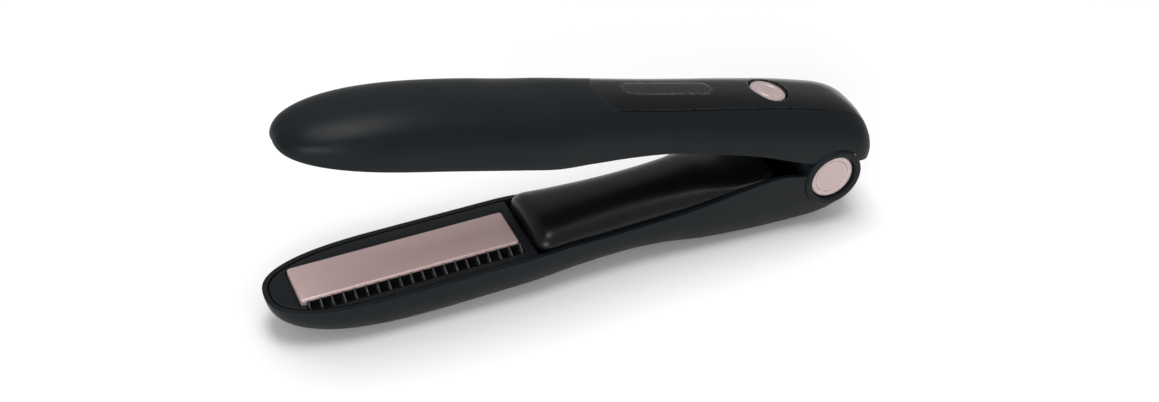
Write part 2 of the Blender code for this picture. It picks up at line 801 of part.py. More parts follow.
def lower_shell(parent, looks):
    shell = loft("lower_shell", lower_places(), lower_section)
    places = hollow_places(WALL, LOWER_END)
    cavity = loft("lower_cavity", places, lambda x: lower_section(x, WALL), HOLLOW_AROUND)
    above = beyond_rim("above_lower_rim", lower_rim, 1)
    cut(shell, helper(cavity, parent), helper(above, parent))
    for side, label in ((-1, "near"), (1, "far")):
        low, high = sorted((side * (EAR_OUTER + GAP / 2), side * (RING_FACE + BEYOND)))
        seat = rod(f"lower_ring_seat_{label}", RING_RADIUS + GAP, low, high, "Y")
        disc, web = ear(side, label, parent)
        join(shell, web, disc)
        cut(shell, helper(seat, parent))
    for x in spring_places():
        post = rod("lower_post", POST_RADIUS, WALL / 2 - lower_depth(x), lower_post_top())
        post.location.x = x
        join(shell, helper(post, parent))
    bore = rod("ear_bore", AXLE_RADIUS + GAP, -RING_FACE, RING_FACE, "Y")
    screw_way = rod("cover_screw_way", SCREW_HEAD + GAP, -FAR, COVER_SCREW_HEAD_SEAT)
    shank_way = rod("cover_shank_way", SCREW_RADIUS + GAP, -FAR, 0.0, steps=20)
    for way in (screw_way, shank_way):
        way.location.x = cover_screw_place()
    cut(shell, helper(bore, parent), helper(screw_way, parent), helper(shank_way, parent))
    floor = box("resting_plane", (-2 * ARM_LENGTH, -FAR, -FAR), (ARM_LENGTH, FAR, 0.0))
    cut(shell, helper(floor, None))
    place(shell, parent, looks["satin_black"])


def cover_screw_place():
    """Place along X of the screw that holds the battery cover."""
    return BAY_REAR - COVER_SCREW_SETBACK


def hump_top(x):
    """Height of the battery cover's ridge."""
    return smooth_through(
        [
            (bay(0.0), HUMP_TOP),
            (bay(0.70), HUMP_TOP),
            (bay(0.88), HUMP_TOP - 0.0017),
            (bay(1.0), HUMP_END),
        ],
        x,
    )


def hump_section(x, inset=0.0):
    """Section of the battery cover: a low dome that stands in the shell's rim."""
    share = 1 - (x - bay(0.0) - inset) / HUMP_NOSE
    tail_share = (x + inset - (bay(1.0) - HUMP_NOSE)) / HUMP_NOSE
    inner = arm_half_width(x, LOWER_END) - WALL - GAP
    front, rear = rounding(share, HUMP_END_POWER), rounding(tail_share, HUMP_END_POWER)
    half_width = (inner - inset) * between(HUMP_FRONT_WIDTH, 1, front) * between(HUMP_REAR_WIDTH, 1, rear)
    up = (hump_top(x) - lower_rim(x) - inset) * front * between(HUMP_REAR_HEIGHT, 1, rear)
    down = COVER_LIP if inset == 0 else 5 * COVER_LIP
    return half_width, lower_rim(x), max(up, LEAST), down, HUMP_POWER


def battery_cover(parent, looks):
    cover = loft("battery_cover", nose_places(BAY_FRONT, BAY_REAR, HUMP_NOSE, HUMP_NOSE), hump_section)
    inner = nose_places(BAY_FRONT + COVER_WALL, BAY_REAR - COVER_WALL, HUMP_NOSE, HUMP_NOSE)
    hollow = loft("cover_hollow", inner, lambda x: hump_section(x, COVER_WALL), HOLLOW_AROUND)
    roof = hump_top(cover_screw_place()) - COVER_WALL / 2
    boss = rod("cover_boss", BOSS_RADIUS, -COVER_BOSS_DROP, roof, steps=24)
    pilot = rod("cover_boss_pilot", SCREW_RADIUS + GAP, -FAR, roof - 2 * COVER_WALL, steps=20)
    for post in (boss, pilot):
        post.location.x = cover_screw_place()
    cut(cover, helper(hollow, parent))
    join(cover, helper(boss, parent))
    cut(cover, helper(pilot, parent))
    place(cover, parent, looks["gloss_black"])
    fixing = screw("battery_cover_screw", cover_screw_place(), COVER_SCREW_HEAD_SEAT - GAP)
    place(fixing, parent, looks["steel"])


def battery(parent, looks):
    front = BAY_FRONT + BATTERY_SETBACK
    rear = front + BATTERY_LENGTH
    profile = [
        (0, BATTERY_LENGTH),
        (NUB_RADIUS, BATTERY_LENGTH),
        (NUB_RADIUS, BATTERY_LENGTH - NUB_HEIGHT),
        (BATTERY_RADIUS, BATTERY_LENGTH - NUB_HEIGHT),
        (BATTERY_RADIUS, 0),
        (0, 0),
    ]
    cell = turned("battery_cell", profile, 32, along="X")
    cell.location = (front, 0, BATTERY_AXIS)
    place(cell, parent, looks["cell_wrap"])
    half = CONTACT_SIZE / 2
    for label, x in (("front", front - GAP - CONTACT_THICKNESS), ("rear", rear + GAP)):
        low = (x, -half, BATTERY_AXIS - half)
        high = (x + CONTACT_THICKNESS, half, BATTERY_AXIS + half)
        place(box(f"battery_contact_{label}", low, high), parent, looks["nickel"])


def comb(parent, looks):
    """The strip of fins along the lower plate's near edge."""
    inner = -PLATE_WIDTH / 2 - FRAME_GAP - GAP
    outer = inner - FIN_REACH
    low, high = COMB_FLOOR + GAP, COMB_FLOOR + GAP + COMB_BASE
    foot = (low + high) / 2
    start = PLATE_FRONT + COMB_SETBACK
    strip = box("comb", (start, outer, low), (PLATE_REAR, inner, high))
    shape = bmesh.new()
    pitch = (PLATE_REAR - start - FIN_THICKNESS) / (FIN_COUNT - 1)
    profile = [(inner, foot), (inner, high + FIN_HEIGHT), (inner - FIN_RIDGE, high + FIN_HEIGHT)]
    profile += [(outer + FIN_RIDGE, high + FIN_RIDGE), (outer + FIN_RIDGE, foot)]
    for index in range(FIN_COUNT):
        x = start + index * pitch
        near = [shape.verts.new((x, y, z)) for y, z in profile]
        far = [shape.verts.new((x + FIN_THICKNESS, y, z)) for y, z in profile]
        shape.faces.new(near)
        shape.faces.new(reversed(far))
        for a in range(len(profile)):
            b = (a + 1) % len(profile)
            shape.faces.new((near[a], near[b], far[b], far[a]))
    join(strip, helper(object_from("comb_fins", shape), parent))
    place(strip, parent, looks["satin_black"])


def lower_frame(parent, looks):
    frame = plate_frame("lower_plate_frame", LOWER_RIM - RIM_STEP, 1, BAY_FRONT - 2 * GAP, parent)
    inner = -PLATE_WIDTH / 2
    outer = inner - FRAME_GAP - FIN_REACH - 3 * GAP
    recess = box(
        "comb_recess",
        (PLATE_FRONT + COMB_SETBACK - FRAME_GAP, outer, COMB_FLOOR),
        (PLATE_REAR + FRAME_GAP, inner, LOWER_RIM + BEYOND),
    )
    place(cut(frame, helper(recess, parent)), parent, looks["satin_black"])


def hinge_rings(parent, looks):
    """The two round bosses whose wells hold the lock discs."""
    foot = EAR_OUTER + GAP
    profile = [
        (RING_RADIUS - RING_EDGE, RING_FACE),
        (RING_RADIUS, RING_FACE - RING_EDGE),
        (RING_RADIUS, foot),
        (AXLE_RADIUS + GAP, foot),
        (AXLE_RADIUS + GAP, foot + WELL_FLOOR),
        (WELL_RADIUS, foot + WELL_FLOOR),
        (WELL_RADIUS, RING_FACE - WELL_EDGE),
        (WELL_RADIUS + WELL_EDGE, RING_FACE),
    ]
    for label, turn in (("near", math.pi / 2), ("far", -math.pi / 2)):
        ring = turned(f"hinge_ring_{label}", profile, closed=True)
        ring.rotation_euler.x = turn
        place(ring, parent, looks["satin_black"])


def hinge_core(parent, upper, looks):
    """Axle, washers, bushes and the torsion spring that opens the arms."""
    place(tube("hinge_axle", AXLE_RADIUS, AXLE_BORE, -EAR_OUTER, EAR_OUTER, "Y"), parent, looks["steel"])
    bore = AXLE_RADIUS + RUNNING
    for label, side in (("near", -1), ("far", 1)):
        start = BARREL_END + RUNNING
        low, high = sorted((side * start, side * (start + WASHER_THICKNESS)))
        washer = tube(f"hinge_washer_{label}", BARREL_BORE, bore, low, high, "Y")
        place(washer, parent, looks["nickel"])
        low, high = sorted((side * (BARREL_END - BUSH_LENGTH), side * BARREL_END))
        bush = tube(f"hinge_bush_{label}", BARREL_BORE - RUNNING, bore, low, high, "Y")
        place(bush, upper, looks["bearing"])
    end = BARREL_END - BUSH_LENGTH - GAP
    spring = coil_spring("torsion_spring", COIL_TURNS, COIL_RADIUS, COIL_WIRE, -end, end, 12, "Y")
    place(spring, parent, looks["spring_steel"])


def plate_springs(prefix, low, high, parent, looks):
    """The two springs that stand between an arm's posts and its plate carrier."""
    for label, x in zip(("front", "rear"), spring_places()):
        name = f"{prefix}_spring_{label}"
        spring = coil_spring(name, SPRING_TURNS, SPRING_RADIUS, SPRING_WIRE, low, high, 8)
        spring.location.x = x
        place(spring, parent, looks["spring_steel"])


# ---------------------------------------------------------------- lock through the hinge


def hinge_lock(parent, looks):
    """The push-through lock: a pin in the hollow axle with a disc at each end."""
    near_face = -(RING_FACE - DISC_RECESS)
    far_face = RING_FACE - DISC_RECESS - LOCK_TRAVEL
    profile = [
        (0, 0),
        (DISC_CIRCLE, 0),
        (DISC_CIRCLE, -DISC_GROOVE),
        (DISC_CIRCLE + DISC_GROOVE, -DISC_GROOVE),
        (DISC_CIRCLE + DISC_GROOVE, 0),
        (DISC_RADIUS - DISC_EDGE, 0),
        (DISC_RADIUS, -DISC_GROOVE),
        (DISC_RADIUS, -DISC_THICKNESS),
        (0, -DISC_THICKNESS),
    ]
    for label, face, turn in (("near", near_face, math.pi / 2), ("far", far_face, -math.pi / 2)):
        disc = turned(f"lock_disc_{label}", profile)
        disc.rotation_euler.x = turn
        disc.location.y = face
        place(disc, parent, looks["rose_gold"])
    start = near_face + DISC_THICKNESS + GAP
    end = far_face - DISC_THICKNESS - GAP
    place(rod("lock_pin", PIN_RADIUS, start, end, "Y", 24), parent, looks["steel"])


# ---------------------------------------------------------------- upper arm


def panel_prism(name, slack, low):
    """A straight block whose faces trim the control panel from the arm's top."""
    start = -PANEL_LENGTH - slack
    half = PANEL_HALF_WIDTH + slack
    return box(name, (start, -half, low), (UPPER_END + BEYOND, half, UPPER_CREST + BEYOND))


def top_skin(name, prism, thickness, parent):
    """The part of the upper arm's outer skin that lies inside a prism."""
    skin = loft(name, upper_places(), upper_section)
    under = loft(name + "_under", upper_places(thickness), lambda x: upper_section(x, thickness))
    combine(skin, "INTERSECT", helper(prism, parent))
    return cut(skin, helper(under, parent))


def panel_pocket(parent):
    """The pocket in the upper shell that the control panel drops into."""
    pocket = loft("panel_pocket", upper_places(-POCKET_PROUD), lambda x: upper_section(x, -POCKET_PROUD))
    depth = PANEL_THICKNESS + GAP
    under = loft("panel_pocket_under", upper_places(depth), lambda x: upper_section(x, depth))
    prism = panel_prism("panel_pocket_prism", GAP / 2, PANEL_LOW_EDGE - GAP / 2)
    combine(pocket, "INTERSECT", helper(prism, parent))
    return helper(cut(pocket, helper(under, parent)), parent)


def upper_barrel(parent):
    """The upper arm's knuckle and the neck that ties it to the shell's roof."""
    barrel = rod("barrel", BARREL_RADIUS, -BARREL_END, BARREL_END, "Y")
    neck = box(
        "neck",
        (GAP * 2 - BARREL_RADIUS, -NECK_HALF_WIDTH, NECK_FOOT),
        (NECK_END, NECK_HALF_WIDTH, upper_roof(NECK_END) + GAP),
    )
    return helper(neck, parent), helper(barrel, parent)


def upper_shell(parent, looks):
    shell = loft("upper_shell", upper_places(), upper_section)
    places = hollow_places(UPPER_WALL, UPPER_END)
    cavity = loft("upper_cavity", places, upper_hollow, HOLLOW_AROUND)
    below = beyond_rim("below_upper_rim", upper_rim, -1)
    cut(shell, helper(cavity, parent), helper(below, parent))
    cut(shell, panel_pocket(parent))
    for side, label in ((-1, "near"), (1, "far")):
        low, high = sorted((side * (EAR_INNER - RUNNING), side * (RING_FACE + BEYOND)))
        seat = rod(f"upper_ring_seat_{label}", RING_RADIUS + GAP, low, high, "Y")
        cut(shell, helper(seat, parent))
    neck, barrel = upper_barrel(parent)
    join(shell, neck, barrel)
    bore = rod("barrel_bore", BARREL_BORE, -RING_FACE, RING_FACE, "Y")
    well = rod("button_well", GUIDE_RADIUS + GAP, BOARD_HEIGHT, UPPER_CREST + BEYOND)
    well.location.x = BUTTON_PLACE
    mouth = extruded(
        "socket_mouth",
        capsule_outline(0, SOCKET_WIDTH + 2 * GAP, SOCKET_HEIGHT / 2 + GAP),
        0.0,
        UPPER_END + BEYOND,
        "X",
    )
    mouth.location.z = SOCKET_LEVEL
    cut(shell, helper(bore, parent), helper(well, parent), helper(mouth, parent))
    for x in spring_places():
        post = rod("upper_post", POST_RADIUS, upper_post_end(), upper_roof(x) + ROOF_BITE)
        post.location.x = x
        join(shell, helper(post, parent))
    for label, x in screw_places():
        low = cover_level(x) + INNER_COVER_THICKNESS + 2 * GAP
        boss = rod(f"cover_boss_{label}", BOSS_RADIUS, low, upper_roof(x) + ROOF_BITE, steps=24)
        high = cover_level(x) + SCREW_LENGTH + PILOT_SPARE
        pilot = rod(f"cover_pilot_{label}", SCREW_RADIUS + GAP, 0.0, high, steps=20)
        boss.location.x = x
        pilot.location.x = x
        join(shell, helper(boss, parent))
        cut(shell, helper(pilot, parent))
    place(shell, parent, looks["satin_black"])


def upper_roof(x):
    """Level of the upper arm's inside roof on its middle line."""
    _, middle, up, _, _ = upper_section(x, UPPER_WALL)
    return middle + up


def panel_underside_round(place, radius):
    """Lowest level of the control panel's underside on a circle round a place."""
    levels = []
    for angle in evenly(0.0, math.pi, AROUND):
        x = place + radius * math.cos(angle)
        half_width, middle, up, _, power = upper_section(x, PANEL_THICKNESS)
        levels.append(middle + up * rounding(radius * math.sin(angle) / half_width, power))
    return min(levels)


def upper_hollow(x):
    """Section of the upper arm's inside: thin side walls, a roof thick enough for the panel, open below."""
    _, middle, up, down, power = upper_section(x, UPPER_WALL)
    return upper_section(x, WALL)[0], middle, up, down + ROOF_BITE, power


def control_panel(parent, looks):
    prism = panel_prism("panel_trim", -GAP / 2, PANEL_LOW_EDGE + GAP / 2)
    panel = top_skin("control_panel", prism, PANEL_THICKNESS, parent)
    well = rod("panel_well", BUTTON_WELL, BOARD_HEIGHT, UPPER_CREST + BEYOND, steps=40)
    well.location.x = BUTTON_PLACE
    hole = capsule_outline(WINDOW_PLACE, WINDOW_LENGTH + 2 * RUNNING, WINDOW_HALF_WIDTH + RUNNING)
    slot = extruded("window_slot", hole, BOARD_HEIGHT, UPPER_CREST + BEYOND, "Z")
    cut(panel, helper(well, parent), helper(slot, parent))
    place(panel, parent, looks["gloss_black"])
    outline = capsule_outline(WINDOW_PLACE, WINDOW_LENGTH, WINDOW_HALF_WIDTH)
    pill = extruded("window_trim", outline, BOARD_HEIGHT, UPPER_CREST + BEYOND, "Z")
    window = top_skin("indicator_window", pill, PANEL_THICKNESS, parent)
    place(window, parent, looks["smoked_window"])


def cover_level(x):
    """Level of the upper inner cover's lower face over the battery hump."""
    inside_rim = upper_rim(x) + 2 * GAP
    return max(inside_rim, HUMP_TOP + HUMP_CLEARANCE) if x < bay(0.55) else inside_rim


def cover_front():
    """Place along X of the upper inner cover's front wall, clear of the battery hump's nose."""
    return BAY_FRONT - COVER_FRONT_CLEARANCE


def upper_inner_cover(parent, looks):
    """The tray that closes the upper arm over the battery hump."""
    start, end = cover_front(), -BARREL_RADIUS - COVER_REAR_CLEARANCE
    wall = start + INNER_COVER_THICKNESS
    foot = UPPER_RIM + 2 * GAP
    under = [(x, cover_level(x)) for x in evenly(start, end, 18)]
    over = [(x, z + INNER_COVER_THICKNESS) for x, z in reversed(under)]
    outline = [(start, foot), (wall, foot), (wall, under[0][1]), *under[1:], *over]
    half = HALF_WIDTH - WAIST - WALL - COVER_SIDE_CLEARANCE
    cover = extruded("upper_inner_cover", outline, -half, half)
    for label, x in screw_places():
        way = rod(f"cover_way_{label}", SCREW_RADIUS + GAP, 0.0, UPPER_CREST, steps=20)
        seat_top = cover_level(x) + SCREW_HEAD_HEIGHT + GAP
        seat = rod(f"cover_seat_{label}", SCREW_HEAD + GAP, 0.0, seat_top, steps=24)
        way.location.x = x
        seat.location.x = x
        cut(cover, helper(way, parent), helper(seat, parent))
    place(cover, parent, looks["gloss_black"])
    for label, x in screw_places():
        fixing = screw(f"upper_cover_screw_{label}", x, cover_level(x) + SCREW_HEAD_HEIGHT)
        place(fixing, parent, looks["steel"])


def screw_places():
    """Label and place along X of the inner cover's screws."""
    return ("front", bay(0.03)), ("rear", bay(0.78))


def button_stack(parent, upper, looks):
    """The power button and the switch plunger that it pushes, with the collar that guides them."""
    face = upper_crest(BUTTON_PLACE) - BUTTON_RECESS
    stem_end = SWITCH_TOP + BUTTON_TRAVEL + 2 * GAP
    profile = [
        (0, 0),
        (BUTTON_RADIUS - BUTTON_EDGE, 0),
        (BUTTON_RADIUS, -BUTTON_EDGE),
        (BUTTON_RADIUS, -BUTTON_THICKNESS),
        (STEM_RADIUS, -BUTTON_THICKNESS),
        (STEM_RADIUS, stem_end - face),
        (0, stem_end - face),
    ]
    button = turned("power_button", profile, 40)
    button.location = (BUTTON_PLACE, 0, face)
    place(button, parent, looks["rose_gold"])
    plunger = rod("switch_plunger", STEM_RADIUS, SWITCH_TOP - PLUNGER_DEPTH, stem_end - GAP, steps=20)
    plunger.location.x = BUTTON_PLACE
    place(plunger, parent, looks["insulator"])
    collar_top = panel_underside_round(BUTTON_PLACE, GUIDE_RADIUS) - GUIDE_CLEARANCE
    collar_low = collar_top - GUIDE_HEIGHT
    collar = tube("button_guide", GUIDE_RADIUS, BUTTON_RADIUS + RUNNING, collar_low, collar_top)
    collar.location.x = BUTTON_PLACE
    place(collar, upper, looks["satin_black"])


def electronics(parent, looks):
    """Control board with its switch and lights, and the charging socket with its small board."""
    board_end = -BARREL_RADIUS - BOARD_SETBACK
    half = BOARD_WIDTH / 2
    low = (board_end - BOARD_LENGTH, -half, BOARD_HEIGHT)
    high = (board_end, half, BOARD_HEIGHT + BOARD_THICKNESS)
    board = box("control_board", low, high)
    for label, x in screw_places():
        way = rod(f"board_way_{label}", BOSS_RADIUS + 2 * GAP, 0.0, UPPER_CREST, steps=24)
        way.location.x = x
        cut(board, helper(way, parent))
    place(board, parent, looks["circuit_green"])
    size = SWITCH_SIZE / 2
    corner = (BUTTON_PLACE + size, size, SWITCH_TOP)
    switch = box("power_switch", (BUTTON_PLACE - size, -size, BOARD_TOP), corner)
    plunger_way = rod("plunger_way", STEM_RADIUS + RUNNING, BOARD_TOP + SWITCH_FLOOR, UPPER_CREST, steps=20)
    plunger_way.location.x = BUTTON_PLACE
    place(cut(switch, helper(plunger_way, parent)), parent, looks["insulator"])
    for index in range(LED_COUNT):
        x = WINDOW_PLACE + (index - (LED_COUNT - 1) / 2) * LED_SPACING
        low = (x - LED_LENGTH / 2, -LED_WIDTH / 2, BOARD_TOP)
        high = (x + LED_LENGTH / 2, LED_WIDTH / 2, BOARD_TOP + LED_HEIGHT)
        place(box(f"status_led_{index + 1}", low, high), parent, looks["led_white"])
    charging(parent, looks)


def charging(parent, looks):
    """The charging socket, a rounded metal sleeve round a tongue, and the board that carries it."""
    mouth = UPPER_END - SOCKET_SETBACK
    back = mouth - SOCKET_LENGTH
    outline = capsule_outline(0, SOCKET_WIDTH, SOCKET_HEIGHT / 2, 6)
    socket = extruded("charge_socket", outline, back, mouth, "X")
    inside = capsule_outline(0, SOCKET_WIDTH - 2 * SOCKET_SHEET, SOCKET_HEIGHT / 2 - SOCKET_SHEET, 6)
    hollow = extruded("socket_hollow", inside, back + SOCKET_FLOOR, mouth + BEYOND, "X")
    half = SOCKET_WIDTH / 2 - TONGUE_MARGIN
    tongue = box(
        "socket_tongue",
        (back + SOCKET_FLOOR / 2, -half, -TONGUE_THICKNESS / 2),
        (mouth - TONGUE_SETBACK, half, TONGUE_THICKNESS / 2),
    )
    for piece in (socket, hollow, tongue):
        piece.location.z = SOCKET_LEVEL
    cut(socket, helper(hollow, parent))
    join(socket, helper(tongue, parent))
    place(socket, parent, looks["nickel"])
    level = SOCKET_LEVEL + SOCKET_HEIGHT / 2 + GAP
    half = CHARGE_BOARD_WIDTH / 2
    corner = (mouth - CHARGE_BOARD_SETBACK, half, level + CHARGE_BOARD_THICKNESS)
    place(box("charge_board", (back, -half, level), corner), parent, looks["circuit_green"])


# ---------------------------------------------------------------- the iron


def all_finishes():
    return {
        "satin_black": finish("satin_black", (0.018, 0.020, 0.024), 0.42),
        "gloss_black": finish("gloss_black", (0.010, 0.010, 0.012), 0.14),
        "smoked_window": finish("smoked_window", (0.012, 0.012, 0.014), 0.10),
        "rose_plate": finish("rose_plate", (0.45, 0.30, 0.29), 0.34, 0.85),
        "rose_gold": finish("rose_gold", (0.62, 0.45, 0.42), 0.30, 0.85),
        "steel": finish("steel", (0.55, 0.55, 0.56), 0.30, 1.0),
        "spring_steel": finish("spring_steel", (0.40, 0.40, 0.42), 0.35, 1.0),
        "nickel": finish("nickel", (0.66, 0.64, 0.60), 0.28, 1.0),
        "bearing": finish("bearing", (0.75, 0.74, 0.70), 0.50),
        "insulator": finish("insulator", (0.30, 0.17, 0.10), 0.60),
        "ceramic": finish("ceramic", (0.85, 0.84, 0.80), 0.55),
        "cell_wrap": finish("cell_wrap", (0.05, 0.22, 0.42), 0.35),
        "circuit_green": finish("circuit_green", (0.02, 0.16, 0.06), 0.40),
        "led_white": finish("led_white", (0.88, 0.88, 0.82), 0.30),
    }


def main():
    clear_scene()
    new_collection(PARTS_COLLECTION)
    new_collection(CUTTERS_COLLECTION)
    looks = all_finishes()
    root = empty("resting_frame")
    root.rotation_euler.y = -REST_TILT
    root.location = -(root.rotation_euler.to_matrix() @ REAR_LAND)
    lower = empty("lower_arm_pivot", root)
    upper = empty("upper_arm_pivot", root)
    upper.rotation_euler.y = OPEN_ANGLE
    lower_float = empty("lower_plate_float", lower)
    upper_float = empty("upper_plate_float", upper)
    lower_shell(lower, looks)
    lower_frame(lower, looks)
    comb(lower, looks)
    battery_cover(lower, looks)
    battery(lower, looks)
    hinge_rings(lower, looks)
    hinge_core(lower, upper, looks)
    hinge_lock(empty("lock_slide", lower), looks)
    deep = plate_set("lower", PLATE_TOP, 1, lower_float, looks)
    plate_springs("lower", lower_post_top() + GAP, deep - GAP, lower, looks)
    upper_shell(upper, looks)
    frame = plate_frame("upper_plate_frame", UPPER_RIM + RIM_STEP, -1, cover_front() - 2 * GAP, upper)
    place(frame, upper, looks["satin_black"])
    control_panel(upper, looks)
    upper_inner_cover(upper, looks)
    button_stack(empty("button_slide", upper), upper, looks)
    electronics(upper, looks)
    deep = plate_set("upper", UPPER_PLATE_FACE, -1, upper_float, looks)
    plate_springs("upper", deep + GAP, upper_post_end() - GAP, upper, looks)


main()
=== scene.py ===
"""Looks of a cordless mini flat iron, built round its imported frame."""

import json
import logging
import math
from collections.abc import Callable, Iterable, Sequence
from dataclasses import dataclass, field
from enum import Enum

import bmesh
import bpy
from mathutils import Matrix, Vector

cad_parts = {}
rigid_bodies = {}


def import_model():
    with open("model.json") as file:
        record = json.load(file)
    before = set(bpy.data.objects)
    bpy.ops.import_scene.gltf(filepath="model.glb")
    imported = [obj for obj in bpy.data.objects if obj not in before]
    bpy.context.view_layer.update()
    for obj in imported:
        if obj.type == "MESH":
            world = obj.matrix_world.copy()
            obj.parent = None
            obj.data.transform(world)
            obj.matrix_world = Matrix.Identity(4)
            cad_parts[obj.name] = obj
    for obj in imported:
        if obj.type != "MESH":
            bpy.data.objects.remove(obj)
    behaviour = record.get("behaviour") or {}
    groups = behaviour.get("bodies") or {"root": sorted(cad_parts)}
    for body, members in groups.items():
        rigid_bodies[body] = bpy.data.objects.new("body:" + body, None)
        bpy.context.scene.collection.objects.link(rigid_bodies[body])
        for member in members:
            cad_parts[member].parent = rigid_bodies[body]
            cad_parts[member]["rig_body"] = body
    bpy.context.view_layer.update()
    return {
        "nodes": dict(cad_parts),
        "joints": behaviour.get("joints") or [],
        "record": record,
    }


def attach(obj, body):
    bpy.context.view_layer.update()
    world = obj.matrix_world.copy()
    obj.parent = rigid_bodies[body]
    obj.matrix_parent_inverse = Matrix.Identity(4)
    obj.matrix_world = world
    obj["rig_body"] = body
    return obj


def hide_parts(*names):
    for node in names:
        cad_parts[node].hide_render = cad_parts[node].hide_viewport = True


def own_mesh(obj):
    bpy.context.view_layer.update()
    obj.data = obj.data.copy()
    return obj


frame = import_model()

LOG = logging.getLogger("flat_iron")
Point = tuple[float, float, float]
Outline = Sequence[tuple[float, float]]
Piece = bpy.types.Object
Shape = bmesh.types.BMesh
Tree = bpy.types.NodeTree
Socket = bpy.types.NodeSocket


# ---------------------------------------------------------------- curves


NOSE_STEPS = 36
MIDDLE_STEPS = 70
TAIL_STEPS = 30
CROWDING = 2.2
PILL_SNAP = 8


def rounding(share: float, power: float) -> float:
    """Height of a rounded end: 1 where it is full (share 0) and 0 at its end (share 1)."""
    share = min(max(share, 0.0), 1.0)
    return (1 - share**power) ** (1 / power)


def rounded_unit(angle: float, power: float) -> tuple[float, float]:
    """Point of the unit superellipse of that power, seen at an angle from its centre.

    Args:
        angle: The angle, in radians.
        power: The superellipse's power.

    Returns:
        The point, across and up.
    """
    across, up = math.cos(angle), math.sin(angle)
    reach = (abs(across) ** power + abs(up) ** power) ** (-1 / power)
    return reach * across, reach * up


def smooth_through(points: Outline, at: float) -> float:
    """Value at a place of a smooth curve through (place, value) points.

    Args:
        points: The points in order, held level before the first and after the last.
        at: The place.

    Returns:
        The curve's value.
    """
    if at <= points[0][0]:
        return points[0][1]
    if at >= points[-1][0]:
        return points[-1][1]
    last = len(points) - 1
    slopes = [0.0] * (last + 1)
    for index in range(1, last):
        before, here, after = points[index - 1 : index + 2]
        if (here[1] - before[1]) * (after[1] - here[1]) > 0:
            slopes[index] = (after[1] - before[1]) / (after[0] - before[0])
    index = max(i for i in range(last) if points[i][0] <= at)
    (x0, y0), (x1, y1) = points[index], points[index + 1]
    span = x1 - x0
    t = (at - x0) / span
    return (
        (2 * t**3 - 3 * t**2 + 1) * y0
        + (t**3 - 2 * t**2 + t) * span * slopes[index]
        + (3 * t**2 - 2 * t**3) * y1
        + (t**3 - t**2) * span * slopes[index + 1]
    )


def evenly(start: float, end: float, steps: int) -> list[float]:
    """Places from start to end, all the same distance apart."""
    return [start + (end - start) * index / steps for index in range(steps + 1)]


def crowded(start: float, nose: float, end: float, tail: float) -> list[float]:
    """Places along an arm, crowded towards both of its rounded ends.

    Args:
        start: The place of the front end.
        nose: Length of the rounded front.
        end: The place of the rear end.
        tail: Length of the rounded rear.

    Returns:
        The places in order.
    """
    front = [start + nose * (i / NOSE_STEPS) ** CROWDING for i in range(NOSE_STEPS)]
    rear = [end - tail * (i / TAIL_STEPS) ** CROWDING for i in range(TAIL_STEPS, -1, -1)]
    return front + evenly(start + nose, end - tail, MIDDLE_STEPS)[:-1] + rear


def capsule_point(angle: float, length: float, half_width: float) -> tuple[float, float]:
    """Point of a pill's outline, for an angle that goes once round it.

    Args:
        angle: The angle, in radians.
        length: The pill's whole length.
        half_width: Half its width.

    Returns:
        The point, along and across.
    """
    shift = length / 2 - half_width
    across, up = math.cos(angle), math.sin(angle)
    shifted = math.copysign(shift, across) * min(1, abs(across) * PILL_SNAP)
    return shifted + half_width * across, half_width * up


def arc(
    centre: tuple[float, float],
    radius: float,
    start: float,
    end: float,
    steps: int = 6,
) -> list[tuple[float, float]]:
    """Points of a round corner in a turned profile, from one angle to another in degrees.

    Args:
        centre: The corner's centre.
        radius: Its radius.
        start: The first angle.
        end: The last angle.
        steps: How many steps it takes.

    Returns:
        The points in order.
    """
    turns = [math.radians(angle) for angle in evenly(start, end, steps)]
    return [(centre[0] + radius * math.cos(t), centre[1] + radius * math.sin(t)) for t in turns]


# ---------------------------------------------------------------- finishes


class Grain(Enum):
    """The fine texture that a finish has on its surface."""

    MOULDED = "moulded"
    BRUSHED = "brushed"
    SPUN = "spun"
    POLISHED = "polished"
    TRACES = "traces"


COLOUR_SCALE = 90
SMUDGE_SCALE = 140
WEAR_AND_HIGHLIGHT_SCALE = 700
GRAIN_SCALE = 3200
POLISH_SCALE = 900
RING_SCALE = 900
RING_WAVER = 1.5
TRACE_SCALE = 260
TRACE_WIDTH = 0.04
TRACE_COPPER = (0.35, 0.22, 0.06)
BRUSH_STRETCH = (0.02, 1, 1)
COAT_ROUGHNESS = 0.08
GRAIN_STRENGTH = 0.35
MIX_FIRST, MIX_SECOND, MIX_RESULT = 6, 7, 2


